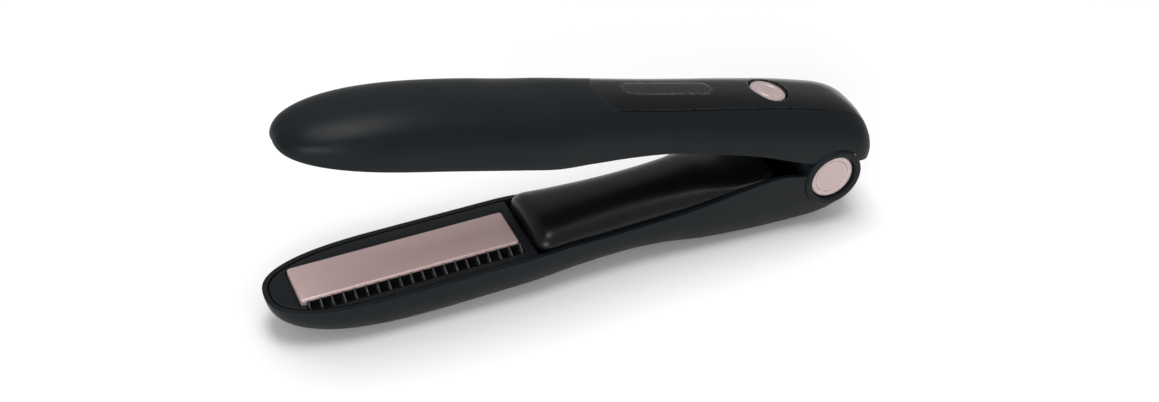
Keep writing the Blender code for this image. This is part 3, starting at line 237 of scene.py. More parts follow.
@dataclass(frozen=True)
class Finish:
    """A procedural finish: one colour with slight variation, a lighter colour on sharp edges (wear on most
    finishes, a painted highlight on some) and a fine grain.
    """

    slot: str
    colour: Point
    roughness: float
    metallic: float = 0.0
    coat: float = 0.0
    grain: Grain = Grain.MOULDED
    depth: float = 0.00001
    variation: float = 0.12
    smudge: float = 0.05
    # lighter colour on sharp edges: real wear on most finishes, a painted highlight on the comb fins, the
    # gloss black and the smoked window
    wear_and_highlight: Point = (0.05, 0.05, 0.055)
    wear_and_highlight_share: float = 0.35
    specular: float = 0.5

    def material(
        self,
        name: str = "",
        centre: Vector | None = None,
        turn: Point = (0, 0, 0),
    ) -> bpy.types.Material:
        """Builds the finish as a node material.

        Args:
            name: The material's name, or nothing for the slot's name.
            centre: The point that a spun grain is turned about.
            turn: The turn of the pattern on the piece, in radians.

        Returns:
            The material.
        """
        material = bpy.data.materials.new(name or self.slot)
        material.use_nodes = True
        tree = material.node_tree
        shader = tree.nodes["Principled BSDF"]
        shader.inputs["Metallic"].default_value = self.metallic
        shader.inputs["Coat Weight"].default_value = self.coat
        shader.inputs["Coat Roughness"].default_value = COAT_ROUGHNESS
        shader.inputs["Specular IOR Level"].default_value = self.specular
        place = self.placed(tree, centre or Vector(), turn)
        self.paint(tree, shader, place)
        self.smudged(tree, shader, place)
        self.grained(tree, shader, place)
        return material

    def placed(self, tree: Tree, centre: Vector, turn: Point) -> Socket:
        """Object coordinates, centred on a point and turned, for the patterns to read.

        Args:
            tree: The material's node tree.
            centre: The point that the patterns are centred on.
            turn: Their turn, in radians.

        Returns:
            The coordinates to read.
        """
        coordinates = tree.nodes.new("ShaderNodeTexCoord")
        mapping = tree.nodes.new("ShaderNodeMapping")
        mapping.vector_type = "TEXTURE"
        mapping.inputs["Location"].default_value = centre
        mapping.inputs["Rotation"].default_value = turn
        tree.links.new(coordinates.outputs["Object"], mapping.inputs["Vector"])
        return mapping.outputs["Vector"]

    def noise(self, tree: Tree, place: Socket, scale: float, detail: float = 3) -> Socket:
        """A noise pattern of a given scale.

        Args:
            tree: The material's node tree.
            place: The coordinates to read.
            scale: The pattern's scale.
            detail: How much fine detail it has.

        Returns:
            The pattern's value.
        """
        texture = tree.nodes.new("ShaderNodeTexNoise")
        texture.inputs["Scale"].default_value = scale
        texture.inputs["Detail"].default_value = detail
        tree.links.new(place, texture.inputs["Vector"])
        return texture.outputs["Fac"]

    def ranged(
        self,
        tree: Tree,
        value: Socket,
        low: float,
        high: float,
        source: tuple[float, float] = (0.3, 0.7),
    ) -> Socket:
        """A pattern's values moved to another range.

        Args:
            tree: The material's node tree.
            value: The pattern's value.
            low: What the low end becomes.
            high: What the high end becomes.
            source: The ends that it had.

        Returns:
            The moved value.
        """
        node = tree.nodes.new("ShaderNodeMapRange")
        node.inputs["From Min"].default_value, node.inputs["From Max"].default_value = source
        node.inputs["To Min"].default_value = low
        node.inputs["To Max"].default_value = high
        tree.links.new(value, node.inputs["Value"])
        return node.outputs["Result"]

    def mixed(self, tree: Tree, share: Socket, first: Point | Socket, second: Point) -> Socket:
        """A colour between two, by a share.

        Args:
            tree: The material's node tree.
            share: How much of the second colour there is.
            first: The first colour, or a socket with it.
            second: The second colour.

        Returns:
            The mixed colour.
        """
        node = tree.nodes.new("ShaderNodeMix")
        node.data_type = "RGBA"
        tree.links.new(share, node.inputs["Factor"])
        if isinstance(first, Socket):
            tree.links.new(first, node.inputs[MIX_FIRST])
        else:
            node.inputs[MIX_FIRST].default_value = (*first, 1)
        node.inputs[MIX_SECOND].default_value = (*second, 1)
        return node.outputs[MIX_RESULT]

    def paint(self, tree: Tree, shader: bpy.types.Node, place: Socket) -> None:
        """Gives the shader its colour, with broad variation, lighter sharp edges (wear, and on some
        finishes a painted highlight) and, on a board, its traces.

        Args:
            tree: The material's node tree.
            shader: The shader that the material ends in.
            place: The coordinates that the patterns read.
        """
        low = tuple(c * (1 - self.variation) for c in self.colour)
        high = tuple(c * (1 + self.variation) for c in self.colour)
        colour = self.mixed(tree, self.noise(tree, place, COLOUR_SCALE, 4), low, high)
        if self.grain is Grain.TRACES:
            lines = tree.nodes.new("ShaderNodeTexBrick")
            lines.inputs["Scale"].default_value = TRACE_SCALE
            lines.inputs["Mortar Size"].default_value = TRACE_WIDTH
            tree.links.new(place, lines.inputs["Vector"])
            colour = self.mixed(tree, lines.outputs["Fac"], colour, TRACE_COPPER)
        # sharp edges get the lighter edge colour: wear on most finishes, a painted highlight on the comb
        # fins, the gloss black and the smoked window
        wear_and_highlight_edges = tree.nodes.new("ShaderNodeAttribute")
        wear_and_highlight_edges.attribute_name = "edge_wear_and_highlight"
        broken = tree.nodes.new("ShaderNodeMath")
        broken.operation = "MULTIPLY"
        tree.links.new(wear_and_highlight_edges.outputs["Fac"], broken.inputs[0])
        patches = self.ranged(tree, self.noise(tree, place, WEAR_AND_HIGHLIGHT_SCALE, 5), 0, self.wear_and_highlight_share)
        tree.links.new(patches, broken.inputs[1])
        colour = self.mixed(tree, broken.outputs[0], colour, self.wear_and_highlight)
        tree.links.new(colour, shader.inputs["Base Color"])

    def smudged(self, tree: Tree, shader: bpy.types.Node, place: Socket) -> None:
        """Varies the roughness, as handling does.

        Args:
            tree: The material's node tree.
            shader: The shader that the material ends in.
            place: The coordinates that the pattern reads.
        """
        pattern = self.noise(tree, place, SMUDGE_SCALE, 6)
        rough = self.ranged(tree, pattern, self.roughness - self.smudge, self.roughness + self.smudge)
        tree.links.new(rough, shader.inputs["Roughness"])

    def grained(self, tree: Tree, shader: bpy.types.Node, place: Socket) -> None:
        """Adds the grain as bump.

        Args:
            tree: The material's node tree.
            shader: The shader that the material ends in.
            place: The coordinates that the grain reads.
        """
        stretched = tree.nodes.new("ShaderNodeMapping")
        tree.links.new(place, stretched.inputs["Vector"])
        if self.grain is Grain.BRUSHED:
            stretched.inputs["Scale"].default_value = BRUSH_STRETCH
        if self.grain is Grain.SPUN:
            rings = tree.nodes.new("ShaderNodeTexWave")
            rings.wave_type = "RINGS"
            rings.rings_direction = "Z"
            rings.inputs["Scale"].default_value = RING_SCALE
            rings.inputs["Distortion"].default_value = RING_WAVER
            tree.links.new(stretched.outputs["Vector"], rings.inputs["Vector"])
            height = rings.outputs["Fac"]
        else:
            scale = POLISH_SCALE if self.grain is Grain.POLISHED else GRAIN_SCALE
            height = self.noise(tree, stretched.outputs["Vector"], scale, 2)
        bump = tree.nodes.new("ShaderNodeBump")
        bump.inputs["Strength"].default_value = GRAIN_STRENGTH
        bump.inputs["Distance"].default_value = self.depth
        tree.links.new(height, bump.inputs["Height"])
        tree.links.new(bump.outputs["Normal"], shader.inputs["Normal"])


SATIN_BLACK = Finish(
    "satin_black", (0.0056, 0.0078, 0.0096), 0.42, depth=0.000008, wear_and_highlight=(0.028, 0.030, 0.033),
    specular=0.15,
)
# gloss black: the pale edge colour is a painted highlight, the bright seam line along the panel's edges
GLOSS_BLACK = Finish(
    "gloss_black", (0.0035, 0.0040, 0.0048), 0.2, grain=Grain.POLISHED, depth=0.000002, smudge=0.03,
    wear_and_highlight=(0.16, 0.165, 0.175), wear_and_highlight_share=0.9, specular=0.26,
)
HUMP_BLACK = Finish(
    "gloss_black", (0.0035, 0.0042, 0.0050), 0.32, grain=Grain.POLISHED, depth=0.000001, smudge=0.03,
    wear_and_highlight=(0.05, 0.052, 0.055), specular=0.30,
)
# smoked window: the light edge colour is a painted highlight outlining the window
SMOKED = Finish(
    "smoked_window", (0.004, 0.0045, 0.005), 0.14, grain=Grain.POLISHED, depth=0.000002, smudge=0.02,
    wear_and_highlight=(0.10, 0.105, 0.11), wear_and_highlight_share=1.0, specular=0.42,
)
# near-black, dull and almost without specular: painted shade for the trough and the back wall under the
# comb fins
PAINTED_SHADE_BLACK = Finish("satin_black", (0.003, 0.003, 0.0035), 0.6, wear_and_highlight=(0.01, 0.01, 0.01), specular=0.08)
# comb fins: the light grey edge colour is a painted highlight along the fin ridges
COMB_BLACK = Finish(
    "satin_black", (0.008, 0.009, 0.010), 0.34, depth=0.000004, wear_and_highlight=(0.16, 0.16, 0.165), wear_and_highlight_share=0.9,
    specular=0.4,
)
ROSE_PLATE = Finish(
    "rose_plate", (0.60, 0.445, 0.435), 0.36, 0.4, grain=Grain.BRUSHED, depth=0.0000008, variation=0.03,
    wear_and_highlight=(0.74, 0.60, 0.59), wear_and_highlight_share=0.8,
)
ROSE_GOLD = Finish(
    "rose_gold", (0.54, 0.43, 0.42), 0.33, 0.5, grain=Grain.SPUN, depth=0.000004, variation=0.04,
    wear_and_highlight=(0.78, 0.64, 0.61), wear_and_highlight_share=0.8,
)
STEEL = Finish(
    "steel", (0.50, 0.50, 0.51), 0.30, 1.0, grain=Grain.BRUSHED, depth=0.000006, wear_and_highlight=(0.75, 0.75, 0.76),
)
SPRING_STEEL = Finish("spring_steel", (0.36, 0.36, 0.38), 0.34, 1.0, wear_and_highlight=(0.65, 0.65, 0.66))
NICKEL = Finish("nickel", (0.62, 0.60, 0.56), 0.26, 1.0, grain=Grain.POLISHED, wear_and_highlight=(0.8, 0.78, 0.74))
BEARING = Finish("bearing", (0.72, 0.71, 0.67), 0.50, wear_and_highlight=(0.5, 0.48, 0.44))
INSULATOR = Finish("insulator", (0.27, 0.15, 0.085), 0.58, wear_and_highlight=(0.4, 0.28, 0.18))
CERAMIC = Finish("ceramic", (0.82, 0.81, 0.77), 0.55, wear_and_highlight=(0.6, 0.58, 0.54))
CELL_WRAP = Finish(
    "cell_wrap", (0.045, 0.20, 0.40), 0.32, coat=0.3, grain=Grain.POLISHED, wear_and_highlight=(0.4, 0.45, 0.5),
)
BOARD_GREEN = Finish(
    "circuit_green", (0.015, 0.13, 0.05), 0.38, grain=Grain.TRACES, coat=0.2, wear_and_highlight=(0.35, 0.4, 0.25),
)
LED_WHITE = Finish("led_white", (0.86, 0.86, 0.80), 0.28, grain=Grain.POLISHED, wear_and_highlight=(0.7, 0.7, 0.65))
FINISHES = (
    SATIN_BLACK, GLOSS_BLACK, SMOKED, ROSE_PLATE, ROSE_GOLD, STEEL, SPRING_STEEL,
    NICKEL, BEARING, INSULATOR, CERAMIC, CELL_WRAP, BOARD_GREEN, LED_WHITE,
)


# ---------------------------------------------------------------- mesh work


class Workshop:
    """Turns bmeshes into finished pieces that ride on the iron's bodies."""

    smooth_angle: float = math.radians(32)
    wear_and_highlight_start: float = math.radians(12)
    wear_and_highlight_angle: float = math.radians(20)
    flat_angle: float = math.radians(1)
    node_edge_angle: float = 40
    weld: float = 0.000002
    fine_weld: float = 0.000001

    def finished(self, shape: Shape, name: str, place: Matrix) -> Piece:
        """Puts a bmesh in its place in the frame and makes an object of it.

        Args:
            shape: The bmesh, which is freed.
            name: The piece's name.
            place: The axes that it was built in.

        Returns:
            The piece, with its place in its mesh.
        """
        bmesh.ops.transform(shape, matrix=place, verts=shape.verts)
        mesh = bpy.data.meshes.new(name)
        shape.to_mesh(mesh)
        shape.free()
        piece = bpy.data.objects.new(name, mesh)
        bpy.context.scene.collection.objects.link(piece)
        return piece

    def bevelled(self, piece: Piece, width: float, segments: int = 3, angle: float = 50) -> Piece:
        """Softens the piece's sharp edges.

        Args:
            piece: The piece.
            width: The width of the softening.
            segments: How many faces it has.
            angle: The least angle of an edge that is softened, in degrees.

        Returns:
            The piece.
        """
        bevel = piece.modifiers.new("soft edges", "BEVEL")
        bevel.width = width
        bevel.segments = segments
        bevel.limit_method = "ANGLE"
        bevel.angle_limit = math.radians(angle)
        return piece

    def cut(self, piece: Piece, *cutters: Piece, keep: bool = False) -> Piece:
        """Cuts solids away from a piece, or keeps only what lies inside them.

        Args:
            piece: The piece.
            cutters: The solids, which are used up.
            keep: Whether only what is inside them stays.

        Returns:
            The piece.
        """
        for cutter in cutters:
            change = piece.modifiers.new("cut", "BOOLEAN")
            change.operation = "INTERSECT" if keep else "DIFFERENCE"
            change.solver = "MANIFOLD"
            change.object = cutter
        self.applied(piece)
        for cutter in cutters:
            bpy.data.objects.remove(cutter, do_unlink=True)
        return piece

    def applied(self, piece: Piece) -> None:
        """Makes what the modifiers do the piece's own mesh.

        Args:
            piece: The piece.
        """
        bpy.context.view_layer.update()
        graph = bpy.context.evaluated_depsgraph_get()
        mesh = bpy.data.meshes.new_from_object(piece.evaluated_get(graph))
        piece.modifiers.clear()
        piece.data = mesh

    def dressed(
        self,
        piece: Piece,
        finish: Finish,
        body: str,
        *nodes: str,
        centre: Vector | None = None,
        turn: Point = (0, 0, 0),
    ) -> Piece:
        """Gives a piece its finish, its body and the nodes that it stands for.

        Args:
            piece: The piece, in place.
            finish: Its finish.
            body: The body that it rides on.
            nodes: The nodes that it replaces.
            centre: The point that a spun grain is turned about.
            turn: The turn of the grain, in radians.

        Returns:
            The piece.
        """
        self.applied(piece)
        self.wear_and_highlight_edges(piece.data)
        piece.data.materials.clear()
        piece.data.materials.append(finish.material(f"{finish.slot}_{piece.name}", centre, turn))
        piece.data.shade_smooth()
        piece.data.set_sharp_from_angle(angle=self.smooth_angle)
        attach(piece, body)
        if nodes:
            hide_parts(*nodes)
        LOG.info("%s: %d faces on %s", piece.name, len(piece.data.polygons), body)
        return piece

    def wear_and_highlight_edges(self, mesh: bpy.types.Mesh) -> None:
        """Marks the sharp edges that get the lighter edge colour: wear on most finishes, a painted
        highlight on others.

        Args:
            mesh: The piece's mesh.
        """
        shape = bmesh.new()
        shape.from_mesh(mesh)
        layer = shape.verts.layers.float.new("edge_wear_and_highlight")
        for vert in shape.verts:
            angles = [edge.calc_face_angle(0) for edge in vert.link_edges]
            sharpness = max(0.0, max(angles, default=0) - self.wear_and_highlight_start)
            vert[layer] = min(1.0, sharpness / self.wear_and_highlight_angle)
        shape.to_mesh(mesh)
        shape.free()

    def sheet(
        self,
        columns: Sequence[float],
        rows: Sequence[float],
        at: Callable[[float, float], Point],
    ) -> Shape:
        """A grid laid over a surface.

        Args:
            columns: Places along the surface.
            rows: Places across it.
            at: The surface's point for a place along and a place across.

        Returns:
            The open surface, with its poles closed.
        """
        shape = bmesh.new()
        wide, high = len(columns) - 1, len(rows) - 1
        bmesh.ops.create_grid(shape, x_segments=wide, y_segments=high, size=1)
        for vert in shape.verts:
            column = round((vert.co.x + 1) / 2 * wide)
            row = round((vert.co.y + 1) / 2 * high)
            vert.co = at(columns[column], rows[row])
        bmesh.ops.remove_doubles(shape, verts=shape.verts, dist=self.weld)
        return shape

    def walled(self, shape: Shape, thickness: float, outward: Vector, at: Vector) -> Shape:
        """Gives an open surface a wall on its inner side.

        Args:
            shape: The open surface.
            thickness: The wall.
            outward: The way that the surface looks where it is tested.
            at: Where it is tested.

        Returns:
            The closed wall.
        """
        nearest = min(shape.faces, key=lambda face: (face.calc_center_median() - at).length_squared)
        if nearest.normal.dot(outward) < 0:
            bmesh.ops.reverse_faces(shape, faces=shape.faces)
        shape.normal_update()
        bmesh.ops.solidify(shape, geom=shape.faces[:], thickness=thickness)
        bmesh.ops.recalc_face_normals(shape, faces=shape.faces)
        return shape

    def turned(self, profile: Outline, steps: int = 128) -> Shape:
        """A turned solid, from (radius, height) points, about Z.

        Args:
            profile: The half section, from one end to the other.
            steps: How many sides the turning has.

        Returns:
            The closed solid.
        """
        shape = bmesh.new()
        points = [shape.verts.new((radius, 0, height)) for radius, height in profile]
        edges = [shape.edges.new(pair) for pair in zip(points, points[1:])]
        if profile[0][0] > 0 and profile[-1][0] > 0:
            edges.append(shape.edges.new((points[-1], points[0])))
        bmesh.ops.spin(
            shape, geom=points + edges, axis=(0, 0, 1), angle=2 * math.pi, steps=steps, use_merge=True
        )
        bmesh.ops.remove_doubles(shape, verts=shape.verts, dist=self.fine_weld)
        bmesh.ops.recalc_face_normals(shape, faces=shape.faces)
        return shape

    def prism(self, outline: Outline, low: float, high: float) -> Shape:
        """A solid with that outline seen from above, between two levels.

        Args:
            outline: The outline's points in order.
            low: The lower level.
            high: The upper level.

        Returns:
            The closed solid.
        """
        shape = bmesh.new()
        ring = bmesh.ops.create_circle(shape, cap_ends=True, segments=len(outline), radius=1)["verts"]
        for vert, (x, y) in zip(ring, outline):
            vert.co = (x, y, low)
        grown = bmesh.ops.extrude_face_region(shape, geom=shape.faces[:])["geom"]
        moved = [item for item in grown if isinstance(item, bmesh.types.BMVert)]
        bmesh.ops.translate(shape, vec=(0, 0, high - low), verts=moved)
        bmesh.ops.recalc_face_normals(shape, faces=shape.faces)
        return shape

    def block(self, low: Point, high: Point) -> Shape:
        """A block between two corners.

        Args:
            low: The lowest corner.
            high: The highest corner.

        Returns:
            The closed solid.
        """
        shape = bmesh.new()
        bmesh.ops.create_cube(shape, size=1)
        bmesh.ops.scale(shape, vec=Vector(high) - Vector(low), verts=shape.verts)
        bmesh.ops.translate(shape, vec=(Vector(low) + Vector(high)) / 2, verts=shape.verts)
        return shape

    def drum(
        self,
        shape: Shape,
        radius: float,
        middle: float,
        thickness: float,
        segments: int,
    ) -> None:
        """Adds a round slice that lies across the arm.

        Args:
            shape: The bmesh that it is added to.
            radius: Its radius.
            middle: How far its middle is to the side.
            thickness: Its thickness.
            segments: How many sides its circle has.
        """
        bmesh.ops.create_cone(
            shape, cap_ends=True, segments=segments, radius1=radius, radius2=radius, depth=thickness,
            matrix=Matrix.Translation((0, middle, 0)) @ Matrix.Rotation(math.pi / 2, 4, "X"),
        )

    def rounded(
        self,
        shape: Shape,
        edges: Sequence[bmesh.types.BMEdge],
        width: float,
        segments: int,
    ) -> None:
        """Rounds some edges of a bmesh.

        Args:
            shape: The bmesh.
            edges: The edges to round.
            width: How far the rounding reaches.
            segments: How many faces it has.
        """
        bmesh.ops.bevel(
            shape, geom=edges, offset=width, segments=segments, profile=0.5, affect="EDGES",
            offset_type="OFFSET", material=-1,
        )

    def joined(self, shape: Shape, other: Shape) -> None:
        """Adds another bmesh to a shape, and frees it.

        Args:
            shape: The bmesh that grows.
            other: The bmesh that is added.
        """
        mesh = bpy.data.meshes.new("joined")
        other.to_mesh(mesh)
        other.free()
        shape.from_mesh(mesh)
        bpy.data.meshes.remove(mesh)

    def softened(
        self,
        node: str,
        finish: Finish,
        width: float = 0.00018,
        segments: int = 2,
    ) -> Piece:
        """A copy of a frame node with soft edges, standing for that node.

        Args:
            node: The frame node.
            finish: Its finish.
            width: The width of the softening.
            segments: How many faces it has.

        Returns:
            The dressed copy.
        """
        source = frame["nodes"][node]
        shape = bmesh.new()
        shape.from_mesh(source.data)
        bmesh.ops.remove_doubles(shape, verts=shape.verts, dist=self.weld)
        bmesh.ops.dissolve_limit(
            shape,
            angle_limit=self.flat_angle,
            verts=shape.verts,
            edges=shape.edges,
            use_dissolve_boundaries=False,
        )
        piece = self.finished(shape, f"{node}_soft", Matrix())
        self.bevelled(piece, width, segments, self.node_edge_angle)
        return self.dressed(piece, finish, source["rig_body"], node)


SHOP = Workshop()
CASING_EDGE = 0.00035
PANEL_EDGE = 0.0003
THIN_EDGE = 0.0002
WALL_ANGLE = 60


# ---------------------------------------------------------------- the arms' outlines


def joint(name: str) -> dict:
    """The record's joint of that name."""
    return next(item for item in frame["joints"] if item["name"] == name)


def arm_axes(up: Sequence[float]) -> Matrix:
    """An arm's own axes: origin on the hinge, X from the tip to the hinge, Y across, Z out of its plane.

    Args:
        up: The way that looks out of the arm's plane.

    Returns:
        The axes, as the place of a piece built in them.
    """
    z = Vector(up).normalized()
    y = Vector((0, 1, 0))
    x = y.cross(z).normalized()
    turn = Matrix((x, y, z)).transposed().to_4x4()
    return Matrix.Translation(joint("arm_hinge")["pos_m"]) @ turn


LOWER_AXES = arm_axes(joint("lower_plate_float")["axis"])
UPPER_AXES = arm_axes(joint("upper_plate_float")["axis"])


@dataclass(frozen=True)
class ArmPlan:
    """What both arms share: their outline seen from above and the hinge at its end. Sizes are in metres."""

    tip_margin: float = 0.0092
    plate_length: float = 0.0709
    plate_gap: float = 0.0042
    bay_length: float = 0.0837
    hinge_bay: float = 0.0205
    width: float = 0.0336
    waist: float = 0.0024
    nose: float = 0.0420
    nose_power: float = 2.6
    tail: float = 0.0085
    tail_power: float = 2.2
    end_share: float = 0.72
    wall: float = 0.0016
    ring_radius: float = 0.0105
    ring_face: float = 0.0170
    ear_inner: float = 0.0099
    ear_outer: float = 0.0121
    gap: float = 0.0003
    seat_gap: float = 0.00012
    seat_depth: float = 0.02
    ring_narrowing: float = 0.0005
    disc_recess: float = 0.0013

    @property
    def tip(self) -> float:
        """Place of the tip."""
        return -(self.tip_margin + self.plate_length + self.plate_gap + self.bay_length + self.hinge_bay)

    @property
    def plate_front(self) -> float:
        """Place of the plate's front edge."""
        return self.tip + self.tip_margin

    @property
    def plate_rear(self) -> float:
        """Place of the plate's rear edge."""
        return self.plate_front + self.plate_length

    def bay(self, share: float) -> float:
        """A place along the battery bay: 0 at its front, 1 at its rear."""
        return self.plate_rear + self.plate_gap + share * self.bay_length

    def half_width(self, x: float, end: float, inset: float = 0.0) -> float:
        """Half the arm's width where it is widest, rounded at the tip and at the hinge, shrunk by inset.

        Args:
            x: The place along the arm.
            end: The place of the arm's rear end.
            inset: How much smaller the outline is all round.

        Returns:
            Half the width.
        """
        half = self.width / 2
        full = smooth_through(
            [
                (self.plate_rear, half),
                (self.bay(0.16), half - self.waist * 0.6),
                (self.bay(0.45), half - self.waist),
                (self.bay(0.80), half - self.waist * 0.6),
                (-self.ring_radius, half - self.ring_narrowing),
            ],
            x,
        )
        nose = rounding(1 - (x - self.tip - inset) / self.nose, self.nose_power)
        tail = rounding((x + inset - end + self.tail) / self.tail, self.tail_power)
        return (full - inset) * nose * (self.end_share + (1 - self.end_share) * tail)

    def seats(self, inner: float, place: Matrix) -> list[Piece]:
        """The two round spaces that the hinge rings stand in.

        Args:
            inner: How far from the middle the spaces start.
            place: The arm's axes.

        Returns:
            The cutters, near side first.
        """
        radius = self.ring_radius + self.seat_gap
        made = []
        for side in (-1, 1):
            shape = bmesh.new()
            SHOP.drum(shape, radius, side * (inner + self.seat_depth / 2), self.seat_depth, 160)
            made.append(SHOP.finished(shape, f"seat_{side}", place))
        return made


PLAN = ArmPlan()


# ---------------------------------------------------------------- lower arm


@dataclass(frozen=True)
class LowerArm:
    """The lower casing with its battery hump and hinge ears."""

    body: str = "lower_arm"
    depth: float = 0.0150
    heel_depth: float = 0.0192
    waist_depth: float = 0.0133
    rim: float = 0.0010
    nose: float = 0.0560
    nose_power: float = 2.3
    tail_power: float = 2.7
    overhang: float = 0.0004
    front_power: float = 2.8
    rear_power: float = 3.4
    hump_top: float = 0.0074
    hump_end: float = 0.0058
    hump_nose: float = 0.0060
    hump_power: float = 2.1
    cover_wall: float = 0.0013
    screw_setback: float = 0.0085
    counterbore: float = 0.0024
    screw_head: float = 0.0018
    screw_way_reach: float = 0.005
    tail_length: float = 0.018
    heel_place: float = -0.01804
    ear_margin: float = 0.0002
    web_inset: float = 0.0001
    web_front: float = -0.0085
    web_rear: float = 0.0015
    web_low: float = -0.0161
    web_high: float = -0.006
    skirt_angle: float = -28
    skirt_drop: float = 0.0024
    hump_end_power: float = 2.4
    hump_front_share: float = 0.62
    hump_rear_share: float = 0.80
    hump_rise_share: float = 0.35

    @property
    def end(self) -> float:
        """Place of the casing's rear end."""
        return PLAN.ring_radius + self.overhang

    def depth_at(self, x: float) -> float:
        """Depth of the underside below the hinge axis, before the ends are rounded.

        Args:
            x: The place along the arm.

        Returns:
            The depth.
        """
        return smooth_through(
            [
                ((PLAN.plate_front + PLAN.plate_rear) / 2, self.depth),
                (PLAN.bay(0.0), self.depth - 0.0008),
                (PLAN.bay(0.33), self.waist_depth),
                (PLAN.bay(0.54), self.waist_depth + 0.0013),
                (PLAN.bay(0.72), self.waist_depth + 0.0040),
                (PLAN.bay(0.90), self.heel_depth - 0.0005),
                (self.heel_place, self.heel_depth),
            ],
            x,
        )

    def rim_at(self, x: float) -> float:
        """Height of the casing's rim, which climbs towards the hinge.

        Args:
            x: The place along the arm.

        Returns:
            The height.
        """
        return smooth_through(
            [
                (PLAN.bay(0.0), self.rim),
                (PLAN.bay(0.35), self.rim - 0.0012),
                (PLAN.bay(0.62), self.rim - 0.0003),
                (PLAN.bay(0.86), self.rim + 0.0028),
                (PLAN.bay(1.0), self.rim + 0.0044),
                (-PLAN.ring_radius, self.rim + 0.0026),
                (PLAN.ring_radius * 0.7, self.rim),
            ],
            x,
        )

    def skin(self, x: float, angle: float) -> Point:
        """Point of the casing's outer skin at a place and an angle round the section.

        Args:
            x: The place along the arm.
            angle: The angle round the section.

        Returns:
            The point, in the arm's axes.
        """
        tail = self.end + PLAN.tail
        rounded = rounding(1 - (x - PLAN.tip) / self.nose, self.nose_power)
        rounded *= rounding((x - self.end + tail) / tail, self.tail_power)
        powers = [(PLAN.bay(0.2), self.front_power), (PLAN.bay(1.0), self.rear_power)]
        power = smooth_through(powers, x)
        across, rise = rounded_unit(angle, power)
        down = (self.rim_at(x) + self.depth_at(x)) * rounded
        return x, PLAN.half_width(x, self.end) * across, self.rim_at(x) + rise * down

    def casing(self) -> Piece:
        """The open casing that lies on the table.

        Returns:
            The dressed piece.
        """
        columns = crowded(PLAN.tip, self.nose, self.end, self.tail_length)
        shape = SHOP.sheet(columns, evenly(math.pi, 2 * math.pi, 96), self.skin)
        tested = Vector((PLAN.bay(0.5), 0, -self.waist_depth))
        SHOP.walled(shape, PLAN.wall, Vector((0, 0, -1)), tested)
        piece = SHOP.finished(shape, "lower_casing", LOWER_AXES)
        for vert in piece.data.vertices:
            vert.co.z = max(vert.co.z, 0.0)
        SHOP.bevelled(piece, CASING_EDGE, 3, WALL_ANGLE)
        SHOP.cut(piece, *PLAN.seats(PLAN.ear_outer + PLAN.gap / 2, LOWER_AXES), self.screw_way())
        return SHOP.dressed(piece, SATIN_BLACK, self.body)

    def screw_way(self) -> Piece:
        """The counterbored hole of the screw under the heel.

        Returns:
            The cutter.
        """
        radius = self.screw_head + PLAN.gap
        low, high = -self.heel_depth - self.screw_way_reach, self.counterbore - self.heel_depth
        shape = SHOP.turned([(0, low), (radius, low), (radius, high), (0, high)], 64)
        bmesh.ops.translate(shape, vec=(PLAN.bay(1.0) - self.screw_setback, 0, 0), verts=shape.verts)
        return SHOP.finished(shape, "screw_way", LOWER_AXES)

    def ears(self) -> Piece:
        """The two hinge ears and the webs that tie them to the casing's floor.

        Returns:
            The dressed piece.
        """
        shape = bmesh.new()
        thick = PLAN.ear_outer - PLAN.ear_inner
        for side in (-1, 1):
            middle = side * (PLAN.ear_inner + PLAN.ear_outer) / 2
            SHOP.drum(shape, PLAN.ring_radius - self.ear_margin, middle, thick, 128)
            low = (self.web_front, middle - thick / 2 + self.web_inset, self.web_low)
            high = (self.web_rear, middle + thick / 2 - self.web_inset, self.web_high)
            SHOP.joined(shape, SHOP.block(low, high))
        piece = SHOP.finished(shape, "hinge_ears", LOWER_AXES)
        SHOP.bevelled(piece, THIN_EDGE, 2)
        return SHOP.dressed(piece, SATIN_BLACK, self.body)

    def hump_height(self, x: float) -> float:
        """Height of the hump's ridge.

        Args:
            x: The place along the arm.

        Returns:
            The height.
        """
        return smooth_through(
            [
                (PLAN.bay(0.0), self.hump_top),
                (PLAN.bay(0.70), self.hump_top),
                (PLAN.bay(0.88), self.hump_top - 0.0017),
                (PLAN.bay(1.0), self.hump_end),
            ],
            x,
        )

    def hump_skin(self, x: float, angle: float) -> Point:
        """Point of the hump's outer skin.

        Args:
            x: The place along the arm.
            angle: The angle round the section.

        Returns:
            The point, in the arm's axes.
        """
        front = rounding(1 - (x - PLAN.bay(0.0)) / self.hump_nose, self.hump_end_power)
        rear = rounding((x - PLAN.bay(1.0) + self.hump_nose) / self.hump_nose, self.hump_end_power)
        inner = PLAN.half_width(x, self.end) - PLAN.wall - PLAN.gap
        half = inner * (self.hump_front_share + (1 - self.hump_front_share) * front)
        half *= self.hump_rear_share + (1 - self.hump_rear_share) * rear
        rise_share = self.hump_rise_share + (1 - self.hump_rise_share) * rear
        up = (self.hump_height(x) - self.rim_at(x)) * front * rise_share
        across, rise = rounded_unit(angle, self.hump_power)
        return x, half * across, self.rim_at(x) + rise * (up if rise > 0 else self.skirt_drop)

    def hump(self) -> Piece:
        """The gloss cover over the battery.

        Returns:
            The dressed piece.
        """
        columns = crowded(PLAN.bay(0.0), self.hump_nose, PLAN.bay(1.0), self.hump_nose)
        low = math.radians(self.skirt_angle)
        shape = SHOP.sheet(columns, evenly(low, math.pi - low, 72), self.hump_skin)
        tested = Vector((PLAN.bay(0.5), 0, self.hump_top))
        SHOP.walled(shape, self.cover_wall, Vector((0, 0, 1)), tested)
        piece = SHOP.finished(shape, "battery_hump", LOWER_AXES)
        SHOP.bevelled(piece, THIN_EDGE, 2, WALL_ANGLE)
        return SHOP.dressed(piece, HUMP_BLACK, self.body, "battery_cover")

    def build(self) -> None:
        """Builds every piece of the arm."""
        casing = self.casing()
        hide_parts("lower_shell")
        self.ears()
        self.hump()


# ---------------------------------------------------------------- upper arm


